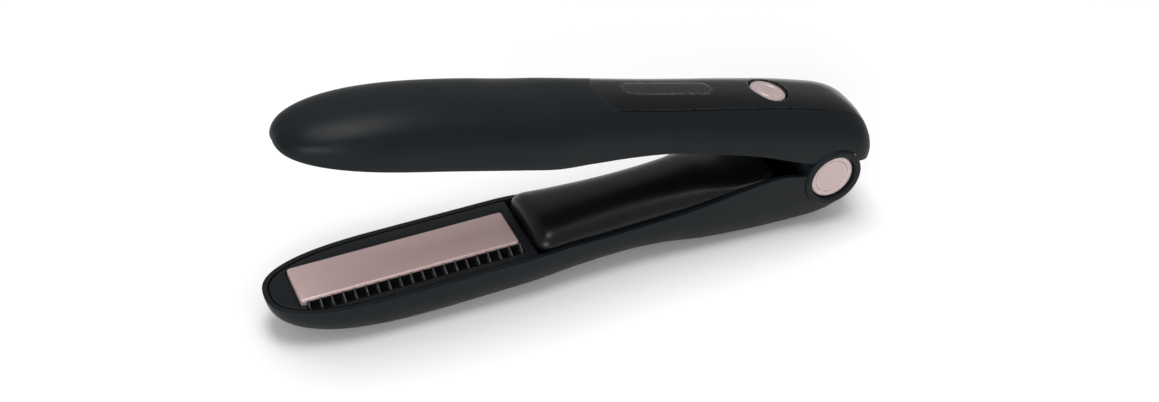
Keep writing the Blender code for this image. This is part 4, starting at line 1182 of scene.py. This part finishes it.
@dataclass(frozen=True)
class UpperArm:
    """The upper casing with its gloss control panel, window, knuckle and charging mouth."""

    body: str = "upper_arm"
    crest: float = 0.0245
    middle: float = 0.0070
    skirt: float = 0.0060
    rim: float = 0.0044
    nose: float = 0.0672
    middle_nose: float = 0.0560
    nose_power: float = 2.0
    skirt_power: float = 2.2
    tail: float = 0.0260
    tail_power: float = 2.9
    power: float = 2.6
    overhang: float = 0.0032
    wall: float = 0.0017
    panel_half: float = 0.0096
    panel_thickness: float = 0.0013
    panel_low: float = 0.0120
    panel_front: float = -0.0911
    panel_sweep: float = 0.0056
    window_length: float = 0.0325
    window_half: float = 0.0034
    window_place: float = -0.0637
    button_place: float = -0.0254
    well_radius: float = 0.0069
    barrel_radius: float = 0.0088
    barrel_bore: float = 0.0062
    barrel_end: float = 0.0092
    seam: float = 0.00015
    socket_level: float = 0.0094
    socket_width: float = 0.0089
    socket_height: float = 0.0032
    beyond: float = 0.01
    sweep_power: float = 1.5
    sweep_reach: float = 2.5
    slot_seams: float = 1.8
    well_depth: float = 0.008
    well_lip: float = 0.0005
    well_clear: float = 0.004
    pill_depth: float = 0.012
    knuckle_edge: float = 0.0003
    neck_front: float = -0.0082
    neck_rear: float = 0.0040
    neck_half: float = 0.0068
    neck_low: float = 0.0066
    neck_high: float = 0.0205
    window_rings: Outline = (
        (0.0, 0.00135),
        (0.0, 0.00020),
        (0.00006, 0.00006),
        (0.00020, 0.0),
        (0.0010, 0.0),
        (0.0020, 0.0),
        (0.0030, 0.0),
    )

    @property
    def end(self) -> float:
        """Place of the casing's rear end."""
        return PLAN.ring_radius + self.overhang

    def rim_at(self, x: float) -> float:
        """Height of the casing's edge, arched over the hump.

        Args:
            x: The place along the arm.

        Returns:
            The height.
        """
        rises = (
            (-0.02, 0), (0.14, 0.0015), (0.31, 0.0032), (0.52, 0.0044), (0.73, 0.0042), (0.90, 0.0034),
        )
        points = [(PLAN.bay(share), self.rim + rise) for share, rise in rises]
        points += [
            (-PLAN.ring_radius - 0.001, self.rim + 0.0012),
            (0.0, self.rim + 0.0010),
            (PLAN.ring_radius, self.rim + 0.0021),
        ]
        return smooth_through(points, x)

    def crest_at(self, x: float) -> float:
        """Height of the top line, before the ends are rounded.

        Args:
            x: The place along the arm.

        Returns:
            The height.
        """
        return smooth_through(
            [
                (PLAN.tip + self.nose, self.crest - 0.0022),
                (PLAN.bay(0.15), self.crest - 0.0010),
                (PLAN.bay(0.50), self.crest - 0.0004),
                (self.button_place - self.well_radius, self.crest),
                (self.button_place + self.well_radius, self.crest - 0.0001),
                (-0.005, self.crest - 0.0006),
            ],
            x,
        )

    def section(self, x: float) -> tuple[float, float, float, float]:
        """Half width, middle height, height above it and depth below it of the skin at a place.

        Args:
            x: The place along the arm.

        Returns:
            The four sizes.
        """
        nose = 1 - (x - PLAN.tip) / self.nose
        rounded = rounding(nose, self.nose_power)
        rounded *= rounding((x - self.end + self.tail) / self.tail, self.tail_power)
        low_end = (PLAN.tip, self.rim + 0.0010)
        middle = smooth_through([low_end, (PLAN.tip + self.middle_nose, self.middle)], x)
        up = (self.crest_at(x) - middle) * rounded
        down = self.skirt * rounding(nose, self.skirt_power)
        return PLAN.half_width(x, self.end), middle, up, down

    def skin(self, x: float, share: float) -> Point:
        """Point of the outer skin, for a share of the way from the near edge over the top to the far edge.

        Args:
            x: The place along the arm.
            share: The share of the way over the top.

        Returns:
            The point, in the arm's axes.
        """
        half, middle, up, down = self.section(x)
        below = middle - self.rim_at(x)
        below = below / max(down, 0.00001) if below > 0 else below / max(up, 0.00001)
        below = min(max(below, -0.97), 0.97)
        start = math.atan2(-below, (1 - abs(below) ** self.power) ** (1 / self.power))
        across, rise = rounded_unit(start + share * (math.pi - 2 * start), self.power)
        return x, -half * across, middle + rise * (up if rise > 0 else down)

    def top(self, x: float, y: float) -> float:
        """Height of the skin above a point."""
        half, middle, up, _ = self.section(x)
        return middle + up * rounding(abs(y) / max(half, 0.0001), self.power)

    def casing(self) -> Piece:
        """The upper casing, open below, with the panel's opening in its roof.

        Returns:
            The dressed piece.
        """
        columns = crowded(PLAN.tip, self.nose, self.end, self.tail)
        shape = SHOP.sheet(columns, evenly(0, 1, 128), self.skin)
        SHOP.walled(shape, PLAN.wall, Vector((0, 0, 1)), Vector((PLAN.bay(0.5), 0, self.crest)))
        piece = SHOP.finished(shape, "upper_casing", UPPER_AXES)
        SHOP.bevelled(piece, CASING_EDGE, 3, WALL_ANGLE)
        seats = PLAN.seats(PLAN.ear_inner - self.seam, UPPER_AXES)
        SHOP.cut(piece, *seats, self.panel_prism(), self.mouth())
        return SHOP.dressed(piece, SATIN_BLACK, self.body, "upper_shell")

    def mouth(self) -> Piece:
        """The rounded way in to the charging socket.

        Returns:
            The cutter.
        """
        shape = bmesh.new()
        bmesh.ops.create_cone(shape, cap_ends=True, segments=96, radius1=1, radius2=1, depth=0.02)
        half = self.socket_height / 2 + PLAN.gap
        for vert in shape.verts:
            angle = math.atan2(vert.co.y, vert.co.x)
            y, z = capsule_point(angle, self.socket_width + 2 * PLAN.gap, half)
            vert.co = (vert.co.z + self.end, y, z + self.socket_level)
        bmesh.ops.recalc_face_normals(shape, faces=shape.faces)
        return SHOP.finished(shape, "mouth", UPPER_AXES)

    def knuckle(self) -> Piece:
        """The barrel that turns on the axle, with its neck.

        Returns:
            The dressed piece.
        """
        edge = self.knuckle_edge
        profile = [
            (self.barrel_bore, -self.barrel_end),
            *arc((self.barrel_radius - edge, edge - self.barrel_end), edge, -90, 0),
            *arc((self.barrel_radius - edge, self.barrel_end - edge), edge, 0, 90),
            (self.barrel_bore, self.barrel_end),
        ]
        shape = SHOP.turned(profile, 96)
        bmesh.ops.rotate(shape, matrix=Matrix.Rotation(-math.pi / 2, 3, "X"), verts=shape.verts)
        low = (self.neck_front, -self.neck_half, self.neck_low)
        high = (self.neck_rear, self.neck_half, self.neck_high)
        SHOP.joined(shape, SHOP.block(low, high))
        piece = SHOP.finished(shape, "hinge_knuckle", UPPER_AXES)
        return SHOP.dressed(piece, SATIN_BLACK, self.body)

    def front_at(self, y: float) -> float:
        """Place of the panel's front edge, which sweeps back towards its sides."""
        return self.panel_front + self.panel_sweep * (abs(y) / self.panel_half) ** self.sweep_power

    def swept(self, x: float, y: float) -> Point:
        """Point of the panel's surface, moved back with the front edge where it is near that edge.

        Args:
            x: The place along the arm.
            y: The place across the arm.

        Returns:
            The point, in the arm's axes.
        """
        share = max(0.0, 1 - (x - self.panel_front) / (self.panel_sweep * self.sweep_reach))
        moved = x + (self.front_at(y) + self.seam - self.panel_front) * share
        return moved, y, self.top(moved, y)

    def panel_prism(self) -> Piece:
        """The panel's opening in the roof, a seam wider than the panel.

        Returns:
            The cutter.
        """
        wide, rear = self.panel_half + self.seam, self.end + self.beyond
        outline = [(self.front_at(y), y) for y in evenly(-wide, wide, 40)]
        outline += [(rear, wide), (rear, -wide)]
        shape = SHOP.prism(outline, self.panel_low - self.seam, self.crest + self.beyond)
        return SHOP.finished(shape, "panel_opening", UPPER_AXES)

    def panel_columns(self) -> list[float]:
        """Places along the panel, close together where the tail turns down.

        Returns:
            The places in order.
        """
        straight = self.end - self.tail
        turns = evenly(0, 1.5, MIDDLE_STEPS)
        bend = [straight + self.tail * math.sin(turn) ** (2 / self.tail_power) for turn in turns]
        return evenly(self.panel_front, straight, 140)[:-1] + bend

    def panel(self) -> Piece:
        """The gloss inlay, with the button's well and the window's slot.

        Returns:
            The dressed piece.
        """
        half = self.panel_half - self.seam
        shape = SHOP.sheet(self.panel_columns(), evenly(-half, half, 48), self.swept)
        bmesh.ops.bisect_plane(
            shape, geom=shape.verts[:] + shape.edges[:] + shape.faces[:], dist=0.000001,
            plane_co=(0, 0, self.panel_low + self.seam), plane_no=(0, 0, 1), clear_inner=True,
        )
        tested = Vector((PLAN.bay(0.5), 0, self.crest))
        SHOP.walled(shape, self.panel_thickness, Vector((0, 0, 1)), tested)
        piece = SHOP.finished(shape, "gloss_panel", UPPER_AXES)
        SHOP.bevelled(piece, PANEL_EDGE, 3, WALL_ANGLE)
        SHOP.cut(piece, self.well_cutter(), self.pill("slot_cutter", self.seam * self.slot_seams))
        # the panel's pale edge colour is a painted highlight along its seam
        return SHOP.dressed(piece, GLOSS_BLACK, self.body, "control_panel")

    def well_cutter(self) -> Piece:
        """The round hole for the button, with a rounded mouth.

        Returns:
            The cutter.
        """
        level = self.top(self.button_place, 0)
        lip = self.well_lip
        profile = [
            (0, level - self.well_depth),
            (self.well_radius, level - self.well_depth),
            *arc((self.well_radius + lip, level - lip), lip, 180, 90),
            (self.well_radius + lip, level + self.well_clear),
            (0, level + self.well_clear),
        ]
        shape = SHOP.turned(profile, 128)
        bmesh.ops.translate(shape, vec=(self.button_place, 0, 0), verts=shape.verts)
        return SHOP.finished(shape, "well_cutter", UPPER_AXES)

    def pill(self, name: str, grown: float) -> Piece:
        """A tall pill-shaped block round the window, grown by a clearance.

        Args:
            name: The block's name.
            grown: The clearance.

        Returns:
            The block.
        """
        shape = bmesh.new()
        bmesh.ops.create_cone(
            shape, cap_ends=True, segments=160, radius1=1, radius2=1, depth=self.pill_depth
        )
        for vert in shape.verts:
            angle = math.atan2(vert.co.y, vert.co.x)
            x, y = capsule_point(angle, self.window_length + 2 * grown, self.window_half + grown)
            vert.co = (x + self.window_place, y, vert.co.z + self.crest)
        bmesh.ops.recalc_face_normals(shape, faces=shape.faces)
        return SHOP.finished(shape, name, UPPER_AXES)

    def window(self) -> Piece:
        """The smoked window over the lights, its rim softened by rings that step down at the edge.

        Returns:
            The dressed piece.
        """
        shape = bmesh.new()
        loops = []
        for inset, drop in self.window_rings:
            ring = bmesh.ops.create_circle(shape, segments=160, radius=1)["verts"]
            for vert in ring:
                angle = math.atan2(vert.co.y, vert.co.x)
                x, y = capsule_point(angle, self.window_length - 2 * inset, self.window_half - inset)
                vert.co = (x + self.window_place, y, self.top(x + self.window_place, y) - drop)
            loops.append([edge for edge in shape.edges if all(vert in ring for vert in edge.verts)])
        for outer, inner in zip(loops, loops[1:]):
            bmesh.ops.bridge_loops(shape, edges=outer + inner)
        bmesh.ops.holes_fill(shape, edges=[edge for edge in shape.edges if edge.is_boundary])
        bmesh.ops.triangulate(shape, faces=[face for face in shape.faces if len(face.verts) > 4])
        bmesh.ops.recalc_face_normals(shape, faces=shape.faces)
        piece = SHOP.finished(shape, "window_pill", UPPER_AXES)
        # the window's light outline is a painted highlight on its rim
        return SHOP.dressed(piece, SMOKED, self.body, "indicator_window")

    def build(self) -> None:
        """Builds every piece of the arm."""
        self.casing()
        self.knuckle()
        self.panel()
        self.window()
        SHOP.softened("upper_inner_cover", GLOSS_BLACK, CASING_EDGE, 3)
        SHOP.softened("button_guide", SATIN_BLACK, THIN_EDGE)
        SHOP.softened("charge_socket", NICKEL, width=0.00006)


# ---------------------------------------------------------------- plates and comb


@dataclass(frozen=True)
class HeaterPlate:
    """A coated plate with rounded corners and a soft edge all round its working face."""

    node: str
    body: str
    axes: Matrix
    face: float
    direction: int
    width: float = 0.0164
    thickness: float = 0.0032
    corner: float = 0.0012
    edge: float = 0.0008

    def build(self) -> Piece:
        """Builds and dresses the plate.

        Returns:
            The dressed piece.
        """
        low, high = sorted((self.face, self.face - self.direction * self.thickness))
        half = self.width / 2
        shape = SHOP.block((PLAN.plate_front, -half, low), (PLAN.plate_rear, half, high))
        drops = {edge: abs(edge.verts[0].co.z - edge.verts[1].co.z) for edge in shape.edges}
        uprights = [edge for edge, drop in drops.items() if drop > self.thickness / 2]
        SHOP.rounded(shape, uprights, self.corner, 8)
        rim = [e for e in shape.edges if all(abs(v.co.z - self.face) < 0.00001 for v in e.verts)]
        SHOP.rounded(shape, rim, self.edge, 6)
        piece = SHOP.finished(shape, f"{self.node}_coated", self.axes)
        turn = self.axes.to_euler()
        return SHOP.dressed(piece, ROSE_PLATE, self.body, self.node, turn=(turn.x, turn.y, turn.z))


@dataclass(frozen=True)
class PlateFrame:
    """The flat frame round a plate, which follows its casing's rim right up to the tip."""

    arm: str
    axes: Matrix
    end: float
    low: float
    high: float
    rear: float
    with_comb: bool
    inset: float = 0.0021
    gap: float = 0.0005
    plate_half: float = 0.0082
    steps: int = 60
    beyond: float = 0.001

    def build(self) -> Piece:
        """Builds and dresses the frame, with the plate's window and the comb's opening cut out.

        Returns:
            The dressed piece.
        """
        front = PLAN.tip + self.inset
        columns = [front + PLAN.nose * (i / self.steps) ** CROWDING for i in range(self.steps)]
        columns += evenly(front + PLAN.nose, self.rear, 30)
        shape = SHOP.sheet(
            columns,
            evenly(-1, 1, 8),
            lambda x, share: (x, share * PLAN.half_width(x, self.end, self.inset), self.high),
        )
        tested = Vector((PLAN.bay(0.0), 0, self.high))
        SHOP.walled(shape, self.high - self.low, Vector((0, 0, 1)), tested)
        piece = SHOP.finished(shape, f"{self.arm}_frame", self.axes)
        wide = self.plate_half + self.gap
        window = SHOP.block(
            (PLAN.plate_front - self.gap, -wide, self.low - self.beyond),
            (PLAN.plate_rear + self.gap, wide, self.high + self.beyond),
        )
        cutters = [SHOP.finished(window, "plate_window", self.axes)]
        if self.with_comb:
            cutters.append(SHOP.finished(Comb().recess(), "comb_recess", self.axes))
        SHOP.cut(piece, *cutters)
        SHOP.bevelled(piece, THIN_EDGE, 2)
        return SHOP.dressed(piece, SATIN_BLACK, f"{self.arm}_arm", f"{self.arm}_plate_frame")


@dataclass(frozen=True)
class Comb:
    """The strip of tapered fins along the lower plate's near side, over a trough painted near-black as
    shade.
    """

    setback: float = 0.0017
    count: int = 20
    thickness: float = 0.0009
    top_thickness: float = 0.00032
    inner: float = -0.0088
    outer: float = -0.0120
    floor: float = -0.0009
    base: float = 0.0006
    foot: float = 0.0009
    crown: float = 0.0025
    wall: float = 0.0004
    wall_top: float = 0.0017
    rim_gap: float = 0.0024
    clearance: float = 0.0004
    recess_inner: float = -0.0080
    recess_reach: float = 0.01
    shoulder: float = 0.0007
    shoulder_drop: float = 0.0001
    fin_edge: float = 0.0001
    steps: int = 40

    def outer_at(self, x: float) -> float:
        """How far out the comb reaches at a place, drawn in where the arm narrows."""
        return max(self.outer, self.rim_gap - PLAN.half_width(x, LowerArm().end))

    def recess(self) -> Shape:
        """The opening in the plate's frame that the comb stands in.

        Returns:
            The cutter's bmesh.
        """
        gap = self.clearance
        places = evenly(PLAN.plate_front + self.setback - gap, PLAN.plate_rear + gap, self.steps)
        outline = [(x, self.outer_at(x) - gap) for x in places]
        outline += [(places[-1], self.recess_inner), (places[0], self.recess_inner)]
        return SHOP.prism(outline, -self.recess_reach, self.recess_reach)

    def fin(self, x: float) -> Shape:
        """One fin: level beside the plate, then falling outwards, and thin along its ridge.

        Args:
            x: The place of the fin's middle.

        Returns:
            The fin's bmesh.
        """
        low = self.floor + self.base / 2
        outline = [
            (self.inner, low),
            (self.inner, self.crown),
            (self.inner - self.shoulder, self.crown - self.shoulder_drop),
            (self.outer_at(x), self.foot),
            (self.outer_at(x), low),
        ]
        shape = SHOP.prism(outline, -self.thickness / 2, self.thickness / 2)
        for vert in shape.verts:
            y, z, side = vert.co
            rise = min(max((z - low) / (self.foot - low), 0), 1)
            thin = 1 - rise * (1 - self.top_thickness / self.thickness)
            vert.co = (x + side * thin, y, z)
        bmesh.ops.recalc_face_normals(shape, faces=shape.faces)
        SHOP.rounded(shape, shape.edges[:], self.fin_edge, 2)
        return shape

    def build(self) -> Piece:
        """Builds and dresses the fins and the trough under them.

        Returns:
            The dressed fins.
        """
        start, rear = PLAN.plate_front + self.setback, PLAN.plate_rear
        outline = [(x, self.outer_at(x)) for x in evenly(start, rear, self.steps)]
        outline += [(rear, self.inner), (start, self.inner)]
        trough = SHOP.prism(outline, self.floor, self.floor + self.base)
        low, high = (start, self.inner, self.floor), (rear, self.inner + self.wall, self.wall_top)
        # the trough and the back wall are painted near-black as the shade under the fins
        for name, part in (("comb_back_painted_shade", SHOP.block(low, high)), ("comb_trough_painted_shade", trough)):
            SHOP.dressed(SHOP.finished(part, name, LOWER_AXES), PAINTED_SHADE_BLACK, "lower_arm")
        shape = bmesh.new()
        half = self.thickness / 2
        for x in evenly(start + half, rear - half, self.count - 1):
            SHOP.joined(shape, self.fin(x))
        piece = SHOP.finished(shape, "comb_fins", LOWER_AXES)
        # the fins' light edge colour is a painted highlight on their ridges
        return SHOP.dressed(piece, COMB_BLACK, "lower_arm", "comb")


# ---------------------------------------------------------------- hinge and button


@dataclass(frozen=True)
class HingeSide:
    """One end of the hinge: the round boss with its well and the lock's disc in it."""

    label: str
    side: int
    disc_face: float
    well_radius: float = 0.00815
    well_floor: float = 0.0130
    bore: float = 0.0038
    disc_radius: float = 0.00784
    disc_thickness: float = 0.0012
    circle: float = 0.00576
    ring_edge: float = 0.0009
    ring_lip: float = 0.0004
    disc_edge: float = 0.00050
    groove: float = 0.00030
    dish: float = 0.00022

    def laid(self, shape: Shape, name: str) -> Piece:
        """Lays a turned shape along the hinge axis, facing out on this side.

        Args:
            shape: The turned shape, about Z.
            name: The piece's name.

        Returns:
            The piece.
        """
        turn = Matrix.Rotation(-self.side * math.pi / 2, 3, "X")
        bmesh.ops.rotate(shape, matrix=turn, verts=shape.verts)
        return SHOP.finished(shape, name, LOWER_AXES)

    def ring(self) -> Piece:
        """The boss, with a rounded outer edge and a rounded lip round its well.

        Returns:
            The dressed piece.
        """
        outer, lip = self.ring_edge, self.ring_lip
        face = PLAN.ring_face
        foot = PLAN.ear_outer + PLAN.gap
        profile = [
            (self.bore, foot),
            (PLAN.ring_radius, foot),
            *arc((PLAN.ring_radius - outer, face - outer), outer, 0, 90, 10),
            *arc((self.well_radius + lip, face - lip), lip, 90, 180, 8),
            (self.well_radius, self.well_floor),
            (self.bore, self.well_floor),
        ]
        piece = self.laid(SHOP.turned(profile, 160), f"ring_boss_{self.label}")
        return SHOP.dressed(piece, SATIN_BLACK, "lower_arm", f"hinge_ring_{self.label}")

    def disc(self) -> Piece:
        """The lock's disc: a raised rim, a fine groove and a dished middle.

        Returns:
            The dressed piece.
        """
        rim, groove, dish = self.disc_edge, self.groove, self.dish
        face, radius = self.disc_face, self.disc_radius
        profile = [
            (0, face - dish * 1.4),
            (self.circle - 0.0006, face - dish * 1.2),
            (self.circle, face - dish),
            (self.circle + groove / 2, face - dish - groove),
            (self.circle + groove, face - dish),
            (self.circle + groove + 0.0002, face - dish / 2),
            *arc((radius - rim, face - rim), rim, 90, 0, 8),
            (radius, face - self.disc_thickness),
            (0, face - self.disc_thickness),
        ]
        piece = self.laid(SHOP.turned(profile, 160), f"disc_{self.label}")
        centre = Vector(joint("arm_hinge")["pos_m"])
        turn = (math.pi / 2, 0, 0)
        node = f"lock_disc_{self.label}"
        return SHOP.dressed(piece, ROSE_GOLD, "hinge_lock", node, centre=centre, turn=turn)

    def build(self) -> None:
        """Builds both pieces."""
        self.ring()
        self.disc()


@dataclass(frozen=True)
class PowerButton:
    """The round button in the panel, dished, with a fine turned groove."""

    arm: UpperArm = field(default_factory=UpperArm)
    radius: float = 0.0061
    recess: float = 0.0009
    thickness: float = 0.0028
    stem: float = 0.0016
    stem_length: float = 0.0036
    edge: float = 0.00045
    groove: float = 0.0002
    groove_share: float = 0.62

    def build(self) -> Piece:
        """Builds and dresses the button.

        Returns:
            The dressed piece.
        """
        edge, groove, place = self.edge, self.groove, self.radius * self.groove_share
        profile = [
            (0, -0.0001),
            (place - groove, -0.00006),
            (place, -0.00006 - groove),
            (place + groove, -0.00003),
            *arc((self.radius - edge, -edge), edge, 90, 0, 8),
            (self.radius, -self.thickness),
            (self.stem, -self.thickness),
            (self.stem, -self.stem_length),
            (0, -self.stem_length),
        ]
        level = self.arm.crest_at(self.arm.button_place) - self.recess
        shape = SHOP.turned(profile, 128)
        bmesh.ops.translate(shape, vec=(self.arm.button_place, 0, level), verts=shape.verts)
        piece = SHOP.finished(shape, "button_cap", UPPER_AXES)
        centre = UPPER_AXES @ Vector((self.arm.button_place, 0, level))
        turn = UPPER_AXES.to_euler()
        turned = (turn.x, turn.y, turn.z)
        return SHOP.dressed(piece, ROSE_GOLD, "power_button", "power_button", centre=centre, turn=turned)


# ---------------------------------------------------------------- sealed pieces


@dataclass(frozen=True)
class Inside:
    """The nodes that keep their own shape and only get their finish."""

    finishes: tuple[Finish, ...] = FINISHES

    def dress(self, nodes: Iterable[str]) -> None:
        """Gives each node the finish that its slot names.

        Args:
            nodes: The nodes' names.
        """
        by_slot = {finish.slot: finish.material() for finish in self.finishes}
        slots = {part["node"]: part["material_slot"] for part in frame["record"]["subparts"]}
        for name in nodes:
            node = frame["nodes"][name]
            for index in range(len(node.material_slots)):
                node.material_slots[index].material = by_slot[slots[name]]
            LOG.info("%s keeps its shape, in %s", name, slots[name])


@dataclass(frozen=True)
class PlateSprings:
    """The two small springs that press a plate's carrier out."""

    arm: str
    joint_name: str

    def build(self) -> None:
        """Builds both springs."""
        for place in ("front", "rear"):
            node = f"{self.arm}_spring_{place}"
            piece = SHOP.softened(node, SPRING_STEEL, 0.00002, 1)
            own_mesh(piece)


# ---------------------------------------------------------------- studio


@dataclass(frozen=True)
class Lamp:
    """A soft rectangular light, with its sizes in metres and its power in watts."""

    name: str
    place: Point
    size: tuple[float, float]
    power: float


@dataclass(frozen=True)
class Studio:
    """Pale floor, soft lights and the camera."""

    azimuth: float = math.radians(-23.6)
    elevation: float = math.radians(38.2)
    camera_place: Point = (-0.2549, -0.3902, 0.3401)
    lens: float = 52.55
    sensor: float = 36.0
    floor_size: float = 6.0
    floor_drop: float = -0.0002
    floor_colour: Point = (0.93, 0.93, 0.93)
    surround: float = 0.42
    aim: Point = (-0.07, 0, 0.03)
    key: Lamp = Lamp("key", (-0.60, -0.80, 0.42), (0.7, 0.35), 4.5)
    top: Lamp = Lamp("top", (-0.05, 0.0, 1.3), (1.1, 0.6), 12)

    def floor(self) -> Piece:
        """The plain floor that the iron lies on.

        Returns:
            The floor.
        """
        shape = bmesh.new()
        bmesh.ops.create_grid(shape, x_segments=1, y_segments=1, size=self.floor_size)
        bmesh.ops.translate(shape, vec=(0, 0, self.floor_drop), verts=shape.verts)
        floor = SHOP.finished(shape, "floor", Matrix())
        material = bpy.data.materials.new("floor_white")
        material.use_nodes = True
        shader = material.node_tree.nodes["Principled BSDF"]
        shader.inputs["Base Color"].default_value = (*self.floor_colour, 1)
        shader.inputs["Roughness"].default_value = 0.7
        shader.inputs["Specular IOR Level"].default_value = 0.15
        floor.data.materials.append(material)
        return floor

    def light(self, plan: Lamp) -> Piece:
        """A soft rectangular light that looks at the iron.

        Args:
            plan: The light's name, place, size and power.

        Returns:
            The light.
        """
        lamp = bpy.data.lights.new(plan.name, "AREA")
        lamp.shape = "RECTANGLE"
        lamp.size, lamp.size_y = plan.size
        lamp.energy = plan.power
        light = bpy.data.objects.new(plan.name, lamp)
        light.location = plan.place
        aim = Vector(self.aim) - Vector(plan.place)
        light.rotation_euler = aim.to_track_quat("-Z", "Y").to_euler()
        bpy.context.scene.collection.objects.link(light)
        return light

    def world(self) -> None:
        """An even pale surround."""
        world = bpy.data.worlds.new("surround")
        world.use_nodes = True
        background = world.node_tree.nodes["Background"]
        background.inputs["Color"].default_value = (1, 1, 1, 1)
        background.inputs["Strength"].default_value = self.surround
        bpy.context.scene.world = world

    def camera(self) -> Piece:
        """The camera, placed in the lower arm's own axes.

        Returns:
            The camera.
        """
        lens = bpy.data.cameras.new("camera")
        lens.lens = self.lens
        lens.sensor_width = self.sensor
        lens.clip_start = 0.01
        camera = bpy.data.objects.new("camera", lens)
        tilt = Matrix.Rotation(math.pi / 2 - self.elevation, 4, "X")
        turn = Matrix.Rotation(self.azimuth, 4, "Z") @ tilt
        camera.matrix_world = LOWER_AXES @ Matrix.Translation(self.camera_place) @ turn
        bpy.context.scene.collection.objects.link(camera)
        bpy.context.scene.camera = camera
        return camera

    def build(self) -> None:
        """Sets up the whole studio."""
        self.camera()
        self.world()
        self.floor()
        self.light(self.key)
        self.light(self.top)
        bpy.context.scene.view_settings.view_transform = "Standard"


def main() -> None:
    """Builds the studio and the iron's sub-assemblies in order."""
    logging.basicConfig(level=logging.INFO, format="%(message)s")
    Studio().build()
    LowerArm().build()
    UpperArm().build()
    HeaterPlate("lower_plate", "lower_plate_body", LOWER_AXES, face=0.0026, direction=1).build()
    HeaterPlate("upper_plate", "upper_plate_body", UPPER_AXES, face=0.0028, direction=-1).build()
    PlateFrame(
        "lower", LOWER_AXES, LowerArm().end,
        low=-0.0013, high=0.0009, rear=PLAN.bay(0.0) - 0.0006, with_comb=True,
    ).build()
    PlateFrame(
        "upper", UPPER_AXES, UpperArm().end,
        low=0.0045, high=0.0067, rear=-0.1070, with_comb=False,
    ).build()
    Comb().build()
    disc_face = PLAN.ring_face - PLAN.disc_recess
    lock_travel = joint("hinge_lock_push")["range_m"][1]
    HingeSide("near", -1, disc_face).build()
    HingeSide("far", 1, disc_face - lock_travel).build()
    PowerButton().build()
    PlateSprings("lower", "lower_plate_float").build()
    PlateSprings("upper", "upper_plate_float").build()
    kept = [name for name, node in frame["nodes"].items() if not node.hide_render]
    Inside().dress(kept)


if __name__ == "__main__":
    main()
